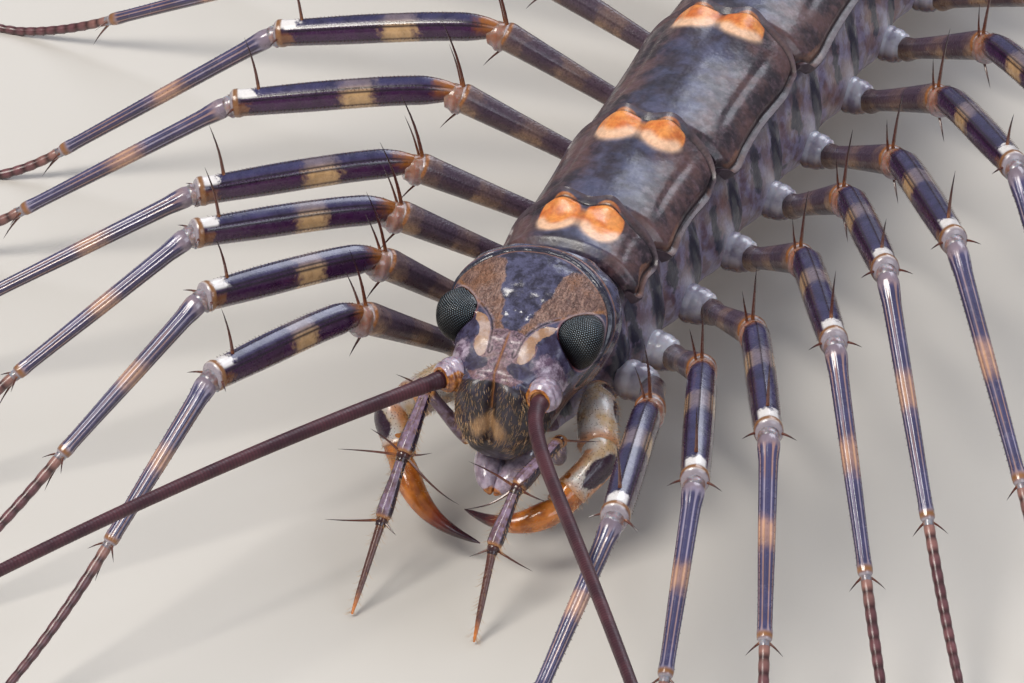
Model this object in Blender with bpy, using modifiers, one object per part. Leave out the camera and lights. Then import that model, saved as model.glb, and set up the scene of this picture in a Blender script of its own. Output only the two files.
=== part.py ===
"""House centipede, a still, life-size model standing on its thirty legs.

The head faces -Y, the animal's left side is +X and the floor is z = 0. Every
size below is in millimetres, and MM turns it into metres. Lengths along the
body are measured from the line between the eyes. Legs are counted from the
head, 1 to 15, and the animal holds its right legs spread and its left legs
swept forward.
"""

import math

import bmesh
import bpy
from mathutils import Matrix, Vector

MM = 0.001
GAP = 0.32

# The middle of the whole model, measured from the eye line.
MIDDLE_X = 5.22
MIDDLE_Y = 30.05

# Legs
PAIRS = 15
LAST = PAIRS - 1
COXA_HEIGHT = 3.85
COXA_SPREAD = 2.98
FIRST_COXA_Y = 2.71
FIRST_COXA_BACK = 0.80
FIRST_COXA_OUT = 0.20
COXA_RADIUS = 0.54
COXA_STEM_RADIUS = 0.50
PREFEMUR_RADIUS = 0.46
FEMUR_RADIUS = 0.50
TIBIA_RADIUS = 0.31
TARSUS_RADIUS = 0.26
TARSUS_TIP_RADIUS = 0.16
TARSUS_REST = 0.26
TARSUS_EASE = 1.7
SPINE_RADIUS = 0.24
SPINE_TIP_RADIUS = 0.05
FOOT_SINK = 0.80

# Each leg's own step, as its departure from the smooth fan of legs: its turn
# and its shin's turn in degrees, then how much further back it grows and how
# much higher its knee, ankle joint and tarsus are.
NO_STEP = (0.0, 0.0, 0.0, 0.0, 0.0, 0.0)
STEPS = {
    ("right", 1): (1.0, -1.5, 0.0, 0.05, -0.15, -0.30),
    ("right", 2): (-1.0, 0.5, 0.15, 0.10, 0.25, 0.10),
    ("right", 3): (-1.0, 1.0, 0.10, -0.10, 0.20, 0.20),
    ("right", 4): (-1.5, 0.0, -0.30, -0.20, -0.40, 0.50),
    ("right", 5): (0.5, 0.0, 0.0, 0.05, 0.05, -0.05),
    ("right", 6): (-2.0, -8.0, 0.10, 0.25, 0.35, -0.30),
    ("left", 1): (-1.0, 0.0, 0.05, 0.05, 0.0, -0.15),
    ("left", 2): (0.5, 0.0, -0.05, -0.05, -0.20, 0.0),
    ("left", 3): (1.0, -2.0, -0.15, -0.35, -0.35, 0.05),
    ("left", 4): (0.5, 2.5, 0.0, 0.15, 0.35, 0.05),
    ("left", 5): (-1.5, 3.0, 0.0, 0.30, 0.55, -0.05),
    ("left", 6): (-0.5, 2.0, -0.15, -0.15, -0.45, 0.0),
}

# Trunk and its plates
TRUNK_ENDS = (1.2, 15.4, 29.9, 44.2, 56.0)
PLATE_ENDS = (4.0, 6.4, 11.7, 19.0, 30.1, 38.0, 45.2, 51.6, 54.9)
PLATE_THICK = 0.50
PLATE_REACH = math.radians(64.0)
PLATE_CORNER = 0.80
PLATE_LIFT = 0.30
SADDLE_HEIGHT = 0.40
SADDLE_SIDE = 0.25
SADDLE_WIDTH = 0.20
SQUARENESS = 0.80
FLANK_FLARE = 0.12
TELSON_SIZE = Vector((1.0, 2.2, 1.1))
TELSON_HEIGHT = 4.4

# Head, whose own length runs from the clypeus up and back to the rear rim
HEAD_MIDDLE = Vector((0.0, 0.5, 6.3))
HEAD_TILT = math.radians(35.0)
EYE_MIDDLE = Vector((2.05, -0.05, 7.38))
EYE_RADII = Vector((0.80, 0.92, 0.98))
SOCKET_MIDDLE = Vector((1.55, -1.62, 6.15))
SOCKET_RADIUS = 0.52
LOBE_MIDDLE = Vector((0.55, -1.75, 4.9))
LOBE_RADII = Vector((0.62, 0.62, 0.95))
MOUTH_MIDDLE = Vector((0.0, -0.35, 2.72))
MOUTH_RADII = Vector((1.05, 1.15, 0.42))

# Joints of the palps and poison claws, from the root to the tip
PALP_SIZES = (0.34, 0.33, 0.30, 0.27, 0.15)
PALP_SPINE_RADIUS = 0.22
PALPS = {
    "right": ((-1.52, -0.25, 3.05), (-2.55, -1.05, 5.05), (-2.62, -2.77, 3.70), (-2.69, -4.26, 2.20),
              (-2.74, -6.50, 0.12)),
    "left": ((1.52, -0.25, 3.05), (2.00, -1.38, 4.57), (1.24, -2.98, 3.60), (1.08, -4.49, 2.30),
             (1.26, -6.43, 0.12)),
}
CLAW_SIZES = (0.42, 0.58, 0.66, 0.66, 0.52, 0.50, 0.44, 0.40, 0.34, 0.27, 0.18, 0.07)
CLAWS = {
    "right": ((-1.72, 2.55, 4.00), (-2.90, 1.00, 4.10), (-3.85, -0.75, 3.75), (-3.21, -1.44, 2.60),
              (-0.23, -2.35, 0.80)),
    "left": ((1.72, 2.55, 4.00), (2.35, 1.00, 3.95), (2.88, -0.40, 3.40), (2.09, -1.87, 2.40),
             (-0.71, -2.45, 2.00)),
}

# Feelers
ANTENNA_LENGTH = 56.0
ANTENNA_RADIUS = 0.26
ANTENNA_TIP_RADIUS = 0.14
ANTENNA_BEND_LENGTH = 1.6

# Each feeler's direction in plan, its rise at the root, both of them in the
# photo's pose, and how far its first part turns back towards straight ahead.
ANTENNAE = {"right": (25.5, 0.10, 0.0), "left": (33.5, 0.12, 34.0)}

SIDES = {"left": 1.0, "right": -1.0}
UP = Vector((0.0, 0.0, 1.0))


def clear_scene():
    for item in list(bpy.data.objects):
        bpy.data.objects.remove(item, do_unlink=True)


def new_collection(name):
    group = bpy.data.collections.new(name)
    bpy.context.scene.collection.children.link(group)
    return group


def make_material(name, colour, roughness):
    material = bpy.data.materials.new(name)
    material.use_nodes = True
    shader = material.node_tree.nodes["Principled BSDF"]
    shader.inputs["Base Color"].default_value = (*colour, 1.0)
    shader.inputs["Roughness"].default_value = roughness
    shader.inputs["Metallic"].default_value = 0.0
    return material


def add_object(name, mesh, group):
    item = bpy.data.objects.new(name, mesh)
    group.objects.link(item)
    return item


def finish_mesh(name, shape, group):
    """Turn a bmesh, in millimetres, into an object in metres."""
    bmesh.ops.recalc_face_normals(shape, faces=shape.faces)
    mesh = bpy.data.meshes.new(name)
    shape.to_mesh(mesh)
    shape.free()
    mesh.transform(Matrix.Scale(MM, 4))
    return add_object(name, mesh, group)


def smooth_step(value):
    value = min(1.0, max(0.0, value))
    return value * value * (3.0 - 2.0 * value)


def blend_along(value, stations):
    """Read a smooth curve through a few (place, size) stations."""
    before = stations[0]
    for after in stations[1:]:
        if value <= after[0]:
            share = smooth_step((value - before[0]) / (after[0] - before[0]))
            return before[1] + (after[1] - before[1]) * share
        before = after
    return before[1]


def tube(name, path, radii, group, resolution=1):
    """A round tube along a path, with its own radius at each point."""
    curve = bpy.data.curves.new(name, "CURVE")
    curve.dimensions = "3D"
    curve.bevel_depth = MM
    curve.bevel_resolution = resolution
    curve.use_fill_caps = True
    spline = curve.splines.new("POLY")
    spline.points.add(len(path) - 1)
    for point, place, radius in zip(spline.points, path, radii):
        point.co = (*(place * MM), 1.0)
        point.radius = radius
    guide = add_object(name + "_path", curve, group)
    bpy.context.view_layer.update()
    seen = guide.evaluated_get(bpy.context.evaluated_depsgraph_get())
    mesh = bpy.data.meshes.new_from_object(seen)
    bpy.data.objects.remove(guide, do_unlink=True)
    shape = bmesh.new()
    shape.from_mesh(mesh)
    bmesh.ops.remove_doubles(shape, verts=shape.verts, dist=0.000001)
    bmesh.ops.recalc_face_normals(shape, faces=shape.faces)
    shape.to_mesh(mesh)
    shape.free()
    return add_object(name, mesh, group)


def cone(name, root, tip, root_radius, tip_radius, sides, group):
    """A straight closed cone or rod from one place to another."""
    along = tip - root
    shape = bmesh.new()
    bmesh.ops.create_cone(shape, cap_ends=True, segments=sides, radius1=root_radius,
                          radius2=tip_radius, depth=along.length)
    turn = along.to_track_quat("Z", "Y").to_matrix().to_4x4()
    place = Matrix.Translation((root + tip) / 2.0) @ turn
    bmesh.ops.transform(shape, matrix=place, verts=shape.verts)
    return finish_mesh(name, shape, group)


def spine(name, root, tip, group, radius=SPINE_RADIUS, sides=4):
    """A tapered spine from its root, inside its carrier, to its tip."""
    return cone(name, root, tip, radius, SPINE_TIP_RADIUS, sides, group)


def ball(name, middle, radii, group, segments=12, rings=8):
    shape = bmesh.new()
    bmesh.ops.create_uvsphere(shape, u_segments=segments, v_segments=rings, radius=1.0)
    place = Matrix.Translation(middle) @ Matrix.Diagonal((*radii, 1.0))
    bmesh.ops.transform(shape, matrix=place, verts=shape.verts)
    return finish_mesh(name, shape, group)


def loft(name, rings, group):
    """A closed skin over rings of points, capped at both ends."""
    shape = bmesh.new()
    rows = [[shape.verts.new(point) for point in ring] for ring in rings]
    count = len(rings[0])
    for low, high in zip(rows, rows[1:]):
        for i in range(count):
            j = (i + 1) % count
            shape.faces.new((low[i], low[j], high[j], high[i]))
    shape.faces.new(rows[0])
    shape.faces.new(rows[-1])
    bmesh.ops.triangulate(shape, faces=shape.faces)
    return finish_mesh(name, shape, group)


def keep_largest(mesh):
    """Keep only the largest closed surface of a mesh."""
    shape = bmesh.new()
    shape.from_mesh(mesh)
    left = set(shape.faces)
    best = []
    while left:
        patch = [left.pop()]
        for face in patch:
            for edge in face.edges:
                for other in edge.link_faces:
                    if other in left:
                        left.remove(other)
                        patch.append(other)
        if len(patch) > len(best):
            best = patch
    best = set(best)
    scraps = [face for face in shape.faces if face not in best]
    bmesh.ops.delete(shape, geom=scraps, context="FACES")
    bmesh.ops.triangulate(shape, faces=shape.faces)
    shape.to_mesh(mesh)
    shape.free()


def combine(body, pieces, group, operation):
    """Join pieces to a body, or cut them out of it, and keep one surface."""
    helpers = new_collection(body.name + "_pieces")
    for piece in pieces:
        group.objects.unlink(piece)
        helpers.objects.link(piece)
    modifier = body.modifiers.new("combine", "BOOLEAN")
    modifier.operation = operation
    modifier.solver = "EXACT"
    modifier.operand_type = "COLLECTION"
    modifier.collection = helpers
    bpy.context.view_layer.update()
    seen = body.evaluated_get(bpy.context.evaluated_depsgraph_get())
    mesh = bpy.data.meshes.new_from_object(seen)
    body.modifiers.clear()
    body.data = mesh
    for piece in list(helpers.objects):
        bpy.data.objects.remove(piece, do_unlink=True)
    bpy.data.collections.remove(helpers)
    keep_largest(mesh)
    return body


def cut_at_floor(body, group):
    """Give everything that reaches the floor a small flat at z = 0."""
    shape = bmesh.new()
    bmesh.ops.create_cube(shape, size=1.0)
    size = Matrix.Diagonal((400.0, 400.0, 4.0, 1.0))
    place = Matrix.Translation((0.0, 0.0, -2.0)) @ size
    bmesh.ops.transform(shape, matrix=place, verts=shape.verts)
    block = finish_mesh("floor_block", shape, group)
    return combine(body, [block], group, "DIFFERENCE")


def dress(item, material, root):
    item.data.materials.clear()
    item.data.materials.append(material)
    item.data.shade_smooth()
    item.data.set_sharp_from_angle(angle=math.radians(40.0))
    item.parent = root
    return item


# Trunk

def trunk_half_width(y):
    return blend_along(y, ((1.2, 0.90), (3.1, 1.00), (3.45, 2.0), (8.0, 2.15), (22.0, 2.45),
                           (40.0, 2.15), (56.0, 1.15)))


def trunk_top(y):
    return blend_along(y, ((1.2, 3.90), (2.4, 4.40), (3.1, 5.15), (4.1, 7.4), (6.0, 7.55),
                           (22.0, 8.15), (40.0, 7.6), (56.0, 5.6)))


def trunk_bottom(y):
    return blend_along(y, ((1.2, 2.95), (6.0, 2.75), (22.0, 2.55), (40.0, 2.65), (56.0, 3.2)))


def squared(value, power):
    """Raise a sine or cosine to a power and keep its sign."""
    return math.copysign(abs(value) ** power, value)


def trunk_point(y, angle, offset=0.0, lift=0.0):
    """A point of the trunk's skin; angle 0 is the top, and it grows to +X."""
    half_height = (trunk_top(y) - trunk_bottom(y)) / 2.0
    middle = (trunk_top(y) + trunk_bottom(y)) / 2.0
    across = squared(math.sin(angle), SQUARENESS)
    upward = squared(math.cos(angle), SQUARENESS)
    flare = 1.0 + FLANK_FLARE * smooth_step((0.35 - upward) / 0.9)
    x = (trunk_half_width(y) * flare + offset) * across
    z = middle + (half_height + offset) * upward + lift
    return Vector((x, y, z))


def trunk_side(y, low, high):
    """How far the flank stands out between two heights."""
    flank = [trunk_point(y, math.radians(degrees)) for degrees in range(60, 180, 3)]
    return max(point.x for point in flank if low <= point.z <= high)


def trunk_length(number, group):
    start = TRUNK_ENDS[number - 1]
    end = TRUNK_ENDS[number] - GAP
    steps = 8 if number == 1 else 5
    sides = 16
    rings = []
    for i in range(steps + 1):
        y = start + (end - start) * i / steps
        rings.append([trunk_point(y, 2.0 * math.pi * j / sides) for j in range(sides)])
    return loft("trunk_%d" % number, rings, group)


def tergite_point(start, end, u, v):
    """A point under a back plate; u runs across it and v towards the tail."""
    corner = PLATE_CORNER * u ** 4 * min(1.0, (end - start) / 4.0)
    y = start + (end - corner - start) * v
    hump = math.exp(-((abs(u) - SADDLE_SIDE) / SADDLE_WIDTH) ** 2) * smooth_step((v - 0.55) / 0.35)
    lift = PLATE_LIFT * v ** 3 + SADDLE_HEIGHT * hump
    return trunk_point(y, u * PLATE_REACH, GAP, lift)


def tergite(number, group):
    """An arched back plate with a raised rear edge and a paired saddle."""
    start = PLATE_ENDS[number - 1]
    end = PLATE_ENDS[number] - GAP
    across = 8
    along = 6
    shape = bmesh.new()
    rows = []
    for i in range(along + 1):
        places = [tergite_point(start, end, 2.0 * j / across - 1.0, i / along) for j in range(across + 1)]
        rows.append([shape.verts.new(place) for place in places])
    for low, high in zip(rows, rows[1:]):
        for j in range(across):
            shape.faces.new((low[j], low[j + 1], high[j + 1], high[j]))
    bmesh.ops.triangulate(shape, faces=shape.faces)
    plate = finish_mesh("tergite_%d" % number, shape, group)
    if plate.data.polygons[0].normal.z < 0.0:
        plate.data.flip_normals()
    shell = plate.modifiers.new("thickness", "SOLIDIFY")
    shell.thickness = PLATE_THICK * MM
    shell.offset = 1.0
    return plate


def telson(group):
    """The blunt, tapering end of the body."""
    rings = []
    steps = 4
    sides = 12
    for i in range(steps + 1):
        share = i / steps
        size = math.sqrt(1.0 - (share * 0.93) ** 2)
        ring = []
        for j in range(sides):
            turn = 2.0 * math.pi * j / sides
            x = TELSON_SIZE.x * size * math.sin(turn)
            z = TELSON_HEIGHT + TELSON_SIZE.z * size * math.cos(turn)
            ring.append(Vector((x, TRUNK_ENDS[-1] + TELSON_SIZE.y * share, z)))
        rings.append(ring)
    return loft("telson", rings, group)


# Head and mouthparts

def head_place(across, along, above):
    """A place from the head's own sideways, lengthways and upward sizes."""
    y = along * math.cos(HEAD_TILT) - above * math.sin(HEAD_TILT)
    z = along * math.sin(HEAD_TILT) + above * math.cos(HEAD_TILT)
    return HEAD_MIDDLE + Vector((across, y, z))


def head_half_width(along):
    return blend_along(along, ((-3.3, 0.55), (-2.7, 1.12), (-1.9, 1.36), (-0.9, 1.80), (0.2, 2.50),
                               (1.4, 2.72), (2.5, 2.35), (3.15, 1.5)))


def head_top(along):
    return blend_along(along, ((-3.3, 0.25), (-2.6, 1.05), (-1.6, 1.72), (-0.6, 1.68), (0.6, 1.50),
                               (1.8, 1.35), (2.6, 1.10), (3.15, 0.75)))


def head_bottom(along):
    return blend_along(along, ((-3.3, 1.05), (-2.6, 1.60), (-1.6, 2.00), (0.2, 1.95), (1.5, 1.60),
                               (2.6, 0.75), (3.15, 0.25)))


def head_ring(along, sides):
    ring = []
    for j in range(sides):
        turn = 2.0 * math.pi * j / sides
        across = head_half_width(along) * squared(math.sin(turn), 0.85)
        upward = squared(math.cos(turn), 0.85)
        height = head_top(along) if upward > 0.0 else head_bottom(along)
        ring.append(head_place(across, along, height * upward))
    return ring


def mirrored(place, side):
    return Vector((place.x * side, place.y, place.z))


def head(group):
    """The head shell with its feeler sockets, face lobes and eye cups."""
    stations = (-3.3, -3.05, -2.7, -2.2, -1.6, -0.9, -0.2, 0.5, 1.2, 1.9, 2.5, 2.9, 3.15)
    body = loft("head", [head_ring(along, 20) for along in stations], group)
    lumps = []
    cups = []
    cup_radii = EYE_RADII + Vector((GAP, GAP, GAP))
    for side in SIDES.values():
        lumps.append(ball("socket", mirrored(SOCKET_MIDDLE, side), (SOCKET_RADIUS,) * 3, group, 10, 6))
        lumps.append(ball("lobe", mirrored(LOBE_MIDDLE, side), LOBE_RADII, group, 10, 6))
        cups.append(ball("cup", mirrored(EYE_MIDDLE, side), cup_radii, group, 14, 9))
    combine(body, lumps, group, "UNION")
    return combine(body, cups, group, "DIFFERENCE")


def antenna(word, group):
    """A long feeler that arches forward and comes down to the floor."""
    side = SIDES[word]
    heading, rise, bend = ANTENNAE[word]
    root = mirrored(SOCKET_MIDDLE, side)
    start = SOCKET_RADIUS + GAP
    steps = 16
    fall = root.z + rise * ANTENNA_LENGTH - FOOT_SINK * ANTENNA_TIP_RADIUS
    place = root.copy()
    path = []
    radii = []
    done = 0.0
    for i in range(steps + 1):
        length = start + (ANTENNA_LENGTH - start) * (i / steps) ** 1.15
        share = length / ANTENNA_LENGTH
        turn = math.radians(heading - bend * math.exp(-length / ANTENNA_BEND_LENGTH))
        place += Vector((side * math.sin(turn), -math.cos(turn), 0.0)) * (length - done)
        place.z = root.z + rise * length - fall * share ** 2
        path.append(place.copy())
        radii.append(ANTENNA_RADIUS + (ANTENNA_TIP_RADIUS - ANTENNA_RADIUS) * share ** 3)
        done = length
    return cut_at_floor(tube("antenna_" + word, path, radii, group), group)


def palp(word, group):
    """A leg-like palp with spines at two joints, standing on its tip."""
    side = SIDES[word]
    joints = [Vector(place) for place in PALPS[word]]
    cuts = 3
    path = []
    radii = []
    for i, (low, high) in enumerate(zip(joints, joints[1:])):
        for j in range(cuts):
            share = j / cuts
            waist = 1.0 if j else 0.85
            path.append(low.lerp(high, share))
            radii.append((PALP_SIZES[i] + (PALP_SIZES[i + 1] - PALP_SIZES[i]) * share) * waist)
    body = tube("palp_" + word, path + joints[-1:], radii + [PALP_SIZES[-1]], group)
    spines = []
    for joint, reach in ((joints[2], 1.7), (joints[3], 1.3)):
        for outward, forward, upward in ((1.0, -0.25, 0.15), (-0.8, -0.5, -0.2), (0.45, -0.5, 0.85)):
            aim = Vector((side * outward, forward, upward)).normalized()
            spines.append(spine("spine", joint, joint + aim * reach, group, PALP_SPINE_RADIUS))
    combine(body, spines, group, "UNION")
    return cut_at_floor(body, group)


def forcipule(word, group):
    """A poison claw: a stout base, a short shaft and a curved fang."""
    side = SIDES[word]
    base, bulge, knee, wrist, tip = [Vector(place) for place in CLAWS[word]]
    path = [base, base.lerp(bulge, 0.5), bulge, bulge.lerp(knee, 0.6), knee, knee.lerp(wrist, 0.5), wrist]
    steps = 5
    for i in range(1, steps + 1):
        share = i / steps
        bow = Vector((side * 0.16, -0.50, -0.20)) * math.sin(math.pi * share)
        path.append(wrist.lerp(tip, share) + bow)
    return tube("forcipule_" + word, path, CLAW_SIZES, group, 2)


# Legs

def leg_place_y(k):
    """How far behind the eyes leg number k + 1 grows."""
    steps = [2.74 + 1.36 * math.sin(math.pi * (j + 0.5) / LAST) for j in range(k)]
    return FIRST_COXA_Y + sum(steps)


def leg_plan_angle(k, side):
    """The leg's direction in plan, from straight ahead towards its side."""
    if side < 0.0:
        return math.radians(19.9 + 12.7 * k - 0.21 * k * k)
    front = min(k, 6)
    rear = max(k - 6, 0)
    return math.radians(12.5 + 5.46 * front - 0.30 * front * front + 1.86 * rear + 1.73 * rear * rear)


def leg_heights(k, side):
    """Heights of the knee, the ankle joint and the start of the tarsus."""
    if side < 0.0:
        return (6.95 - 0.71 * smooth_step(k / 6.0), 7.85 - 2.56 * smooth_step((k - 0.5) / 5.5),
                4.24 - 2.90 * smooth_step((k - 0.5) / 5.0))
    front = smooth_step(k / 6.0)
    rear = smooth_step((k - 6.0) / 6.0)
    return 6.21 + 0.32 * front, 6.56 + 1.79 * front - 2.9 * rear, 3.41 + 0.49 * front - 2.3 * rear


def leg_lengths(k):
    """Lengths of the thigh's two parts and the shin."""
    return 5.03 + 0.12 * k, 6.48 + 0.29 * k, 5.83 + 0.63 * k


def leg_joints(k, side, step):
    """The coxa, knee, ankle and tarsus joints, and the tarsus's heading."""
    turn, shin_turn, back, *lifts = step
    spread = COXA_SPREAD + 0.57 * math.sin(math.pi * k / LAST) - 0.70 * (k / LAST) ** 2
    plan = leg_plan_angle(k, side) + math.radians(turn)
    splay = math.radians(8.3 if side < 0.0 else 13.8)
    turn_in = 0.0 if side < 0.0 else math.radians(17.0 * math.exp(-1.1 * k))
    headings = (plan + splay * math.cos(plan), plan, plan - turn_in + math.radians(shin_turn))
    joints = [Vector((side * spread, leg_place_y(k) + back, COXA_HEIGHT))]
    for length, height, lift, heading in zip(leg_lengths(k), leg_heights(k, side), lifts, headings):
        climb = height + lift - joints[-1].z
        run = math.sqrt(length * length - climb * climb)
        joints.append(joints[-1] + ahead(heading, side) * run + UP * climb)
    if k == 0:
        joints[0] += Vector((side * FIRST_COXA_OUT, FIRST_COXA_BACK, 0.0))
    return joints, headings[2]


def ahead(heading, side):
    """The level direction at an angle from straight ahead."""
    return Vector((side * math.sin(heading), -math.cos(heading), 0.0))


def tarsus_path(shin_start, start, heading, side, k):
    """The tarsus falls with the shin's slope, eases and lies on the floor."""
    shin = start - shin_start
    slope = max(-shin.z / shin.xy.length, 0.05)
    length = 11.0 + 0.55 * k + 14.0 * (k / LAST) ** 6
    fall = start.z - FOOT_SINK * TARSUS_TIP_RADIUS
    reach = min(TARSUS_EASE * fall / slope, length * (1.0 - TARSUS_REST))
    forward = ahead(heading, side)
    steps = 5
    path = []
    for i in range(1, steps + 1):
        share = i / steps
        drop = fall * (1.0 - (1.0 - share) ** TARSUS_EASE)
        path.append(start + forward * reach * share - UP * drop)
    return path + [path[-1] + forward * (length - reach)]


def leg_tube(name, joints, tarsus, group):
    coxa, knee, ankle, wrist = joints
    path = [coxa, coxa.lerp(knee, 0.85), knee, knee.lerp(ankle, 0.12), knee.lerp(ankle, 0.9), ankle,
            ankle.lerp(wrist, 0.12), wrist]
    radii = [PREFEMUR_RADIUS, PREFEMUR_RADIUS * 0.95, FEMUR_RADIUS * 0.86, FEMUR_RADIUS,
             FEMUR_RADIUS * 0.94, TIBIA_RADIUS * 1.15, TIBIA_RADIUS * 1.15, TARSUS_RADIUS * 1.08]
    for i in range(len(tarsus)):
        thin = smooth_step((i / (len(tarsus) - 1.0) - 0.4) / 0.4)
        radii.append(TARSUS_RADIUS + (TARSUS_TIP_RADIUS - TARSUS_RADIUS) * thin)
    return tube(name, path + tarsus, radii, group)


def coxa_pieces(coxa, side, group):
    """The hip: a ball, and a stem that reaches to just off the flank."""
    flank = trunk_side(coxa.y, coxa.z - COXA_STEM_RADIUS, coxa.z + COXA_STEM_RADIUS)
    root = Vector((side * (flank + GAP), coxa.y, coxa.z))
    stem = cone("coxa", root, coxa, COXA_STEM_RADIUS, COXA_STEM_RADIUS, 6, group)
    return [stem, ball("trochanter", coxa, (COXA_RADIUS,) * 3, group, 6, 4)]


def leg_spines(joints, forward, size, group):
    """Long spines over the two upper joints, and short ones under two."""
    coxa, knee, ankle, wrist = joints
    spines = []
    for joint, aim, reach in ((knee, UP + 0.25 * forward, 2.0), (knee, 0.5 * forward - UP, 1.3),
                              (ankle, UP + 0.15 * forward, 1.7), (wrist, 0.6 * forward - UP, 1.2)):
        tip = joint + aim.normalized() * reach * size
        tip.z = max(tip.z, 0.35)
        spines.append(spine("spine", joint, tip, group))
    return spines


def leg(k, word, group):
    side = SIDES[word]
    joints, heading = leg_joints(k, side, STEPS.get((word, k + 1), NO_STEP))
    tarsus = tarsus_path(joints[2], joints[3], heading, side, k)
    body = leg_tube("leg_%s_%02d" % (word, k + 1), joints, tarsus, group)
    pieces = coxa_pieces(joints[0], side, group)
    pieces += leg_spines(joints, ahead(heading, side), 1.0 + 0.02 * k, group)
    combine(body, pieces, group, "UNION")
    return cut_at_floor(body, group)


def main():
    clear_scene()
    group = new_collection("house_centipede")
    shell = make_material("dark_shell", (0.045, 0.026, 0.040), 0.35)
    skin = make_material("grey_skin", (0.20, 0.19, 0.24), 0.5)
    face = make_material("head_shell", (0.13, 0.10, 0.12), 0.32)
    lens = make_material("eye_black", (0.006, 0.006, 0.008), 0.2)
    feeler = make_material("feeler_maroon", (0.05, 0.014, 0.016), 0.5)
    amber = make_material("amber_claw", (0.45, 0.16, 0.03), 0.25)
    limbs = make_material("leg_purple", (0.055, 0.032, 0.055), 0.3)
    root = bpy.data.objects.new("middle", None)
    group.objects.link(root)
    root.location = (-MIDDLE_X * MM, -MIDDLE_Y * MM, 0.0)

    for number in range(1, len(TRUNK_ENDS)):
        dress(trunk_length(number, group), skin, root)
    for number in range(1, len(PLATE_ENDS)):
        dress(tergite(number, group), shell, root)
    dress(telson(group), shell, root)
    dress(head(group), face, root)
    dress(ball("mouthparts", MOUTH_MIDDLE, MOUTH_RADII, group, 12, 8), amber, root)
    for word, side in SIDES.items():
        dress(ball("eye_" + word, mirrored(EYE_MIDDLE, side), EYE_RADII, group, 14, 9), lens, root)
        dress(antenna(word, group), feeler, root)
        dress(palp(word, group), limbs, root)
        dress(forcipule(word, group), amber, root)
        for k in range(PAIRS):
            dress(leg(k, word, group), limbs, root)


main()
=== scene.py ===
"""Looks of the house centipede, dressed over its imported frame.

Sizes are in millimetres and measured from the line between the eyes, as in the
part's own source. A shape's points turn into metres, and move to the model's
middle, when its mesh is made. The head faces -Y and the left side is +X.
"""

import math

import bpy
import numpy as np
from mathutils import Matrix, Vector


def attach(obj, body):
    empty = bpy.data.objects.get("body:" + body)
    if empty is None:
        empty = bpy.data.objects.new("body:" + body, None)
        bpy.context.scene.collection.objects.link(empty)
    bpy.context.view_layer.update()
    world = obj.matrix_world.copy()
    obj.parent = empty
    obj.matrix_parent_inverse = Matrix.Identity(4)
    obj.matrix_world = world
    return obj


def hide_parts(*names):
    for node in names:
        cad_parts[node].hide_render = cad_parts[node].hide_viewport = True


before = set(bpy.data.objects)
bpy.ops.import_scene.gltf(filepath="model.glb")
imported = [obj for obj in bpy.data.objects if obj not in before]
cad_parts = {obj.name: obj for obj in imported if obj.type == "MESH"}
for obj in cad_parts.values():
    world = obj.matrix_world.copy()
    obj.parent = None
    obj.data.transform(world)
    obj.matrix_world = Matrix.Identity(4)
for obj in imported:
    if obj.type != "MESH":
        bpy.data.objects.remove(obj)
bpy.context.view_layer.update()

MM = 0.001
MIDDLE = np.array((5.22, 30.05, 0.0))
SIDES = {"left": 1.0, "right": -1.0}
UP = Vector((0.0, 0.0, 1.0))

# The photograph's camera, turned and raised round the eye line
CAMERA_AZIMUTH = math.radians(21.94)
CAMERA_ELEVATION = math.radians(31.62)
CAMERA_ROLL = math.radians(0.42)
CAMERA_DISTANCE = 150.0
CAMERA_LENS = 172.44
CAMERA_AIM_HEIGHT = 7.4
CAMERA_OFFSET_RIGHT = 0.153
CAMERA_OFFSET_UP = 0.474

# Legs
PAIRS = 15
LAST = PAIRS - 1
COXA_HEIGHT = 3.85
COXA_SPREAD = 2.98
FIRST_COXA_Y = 2.71
FIRST_COXA_BACK = 0.80
FIRST_COXA_OUT = 0.20
TARSUS_TIP_RADIUS = 0.10
TARSUS_REST = 0.26
TARSUS_EASE = 1.7
TARSOMERE = 0.42
TARSUS_RADII = (0.175, 0.085)
THIGH_ARCH = 0.26
FOOT_SINK = 0.80
CAD_TIP_RADIUS = 0.16

# How far feet, hairs and spines stay off the floor, and where spines end above
FLOOR_GAP = 0.004
HAIR_FLOOR = 0.02
SPINE_FLOOR = 0.12
SPINE_CEILING = 10.2

# How deep a hair's root sits in the skin, and how a segment's rings crowd at its ends
ROOT_DEPTH = 0.01
END_CROWDING = 0.3 / math.pi

# Each leg's own step, as in the part: its turn and its shin's turn in degrees,
# how much further back it grows, and how much its three joints are raised.
NO_STEP = (0.0, 0.0, 0.0, 0.0, 0.0, 0.0)
STEPS = {
    ("right", 1): (1.0, -1.5, 0.0, 0.05, -0.15, -0.30),
    ("right", 2): (-1.0, 0.5, 0.15, 0.10, 0.25, 0.10),
    ("right", 3): (-1.0, 1.0, 0.10, -0.10, 0.20, 0.20),
    ("right", 4): (-1.5, 0.0, -0.30, -0.20, -0.40, 0.50),
    ("right", 5): (0.5, 0.0, 0.0, 0.05, 0.05, -0.05),
    ("right", 6): (-2.0, -8.0, 0.10, 0.25, 0.35, -0.30),
    ("left", 1): (-1.0, 0.0, 0.05, 0.05, 0.0, -0.15),
    ("left", 2): (0.5, 0.0, -0.05, -0.05, -0.20, 0.0),
    ("left", 3): (1.0, -2.0, -0.15, -0.35, -0.35, 0.05),
    ("left", 4): (0.5, 2.5, 0.0, 0.15, 0.35, 0.05),
    ("left", 5): (-1.5, 3.0, 0.0, 0.30, 0.55, -0.05),
    ("left", 6): (-0.5, 2.0, -0.15, -0.15, -0.45, 0.0),
}

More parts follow.
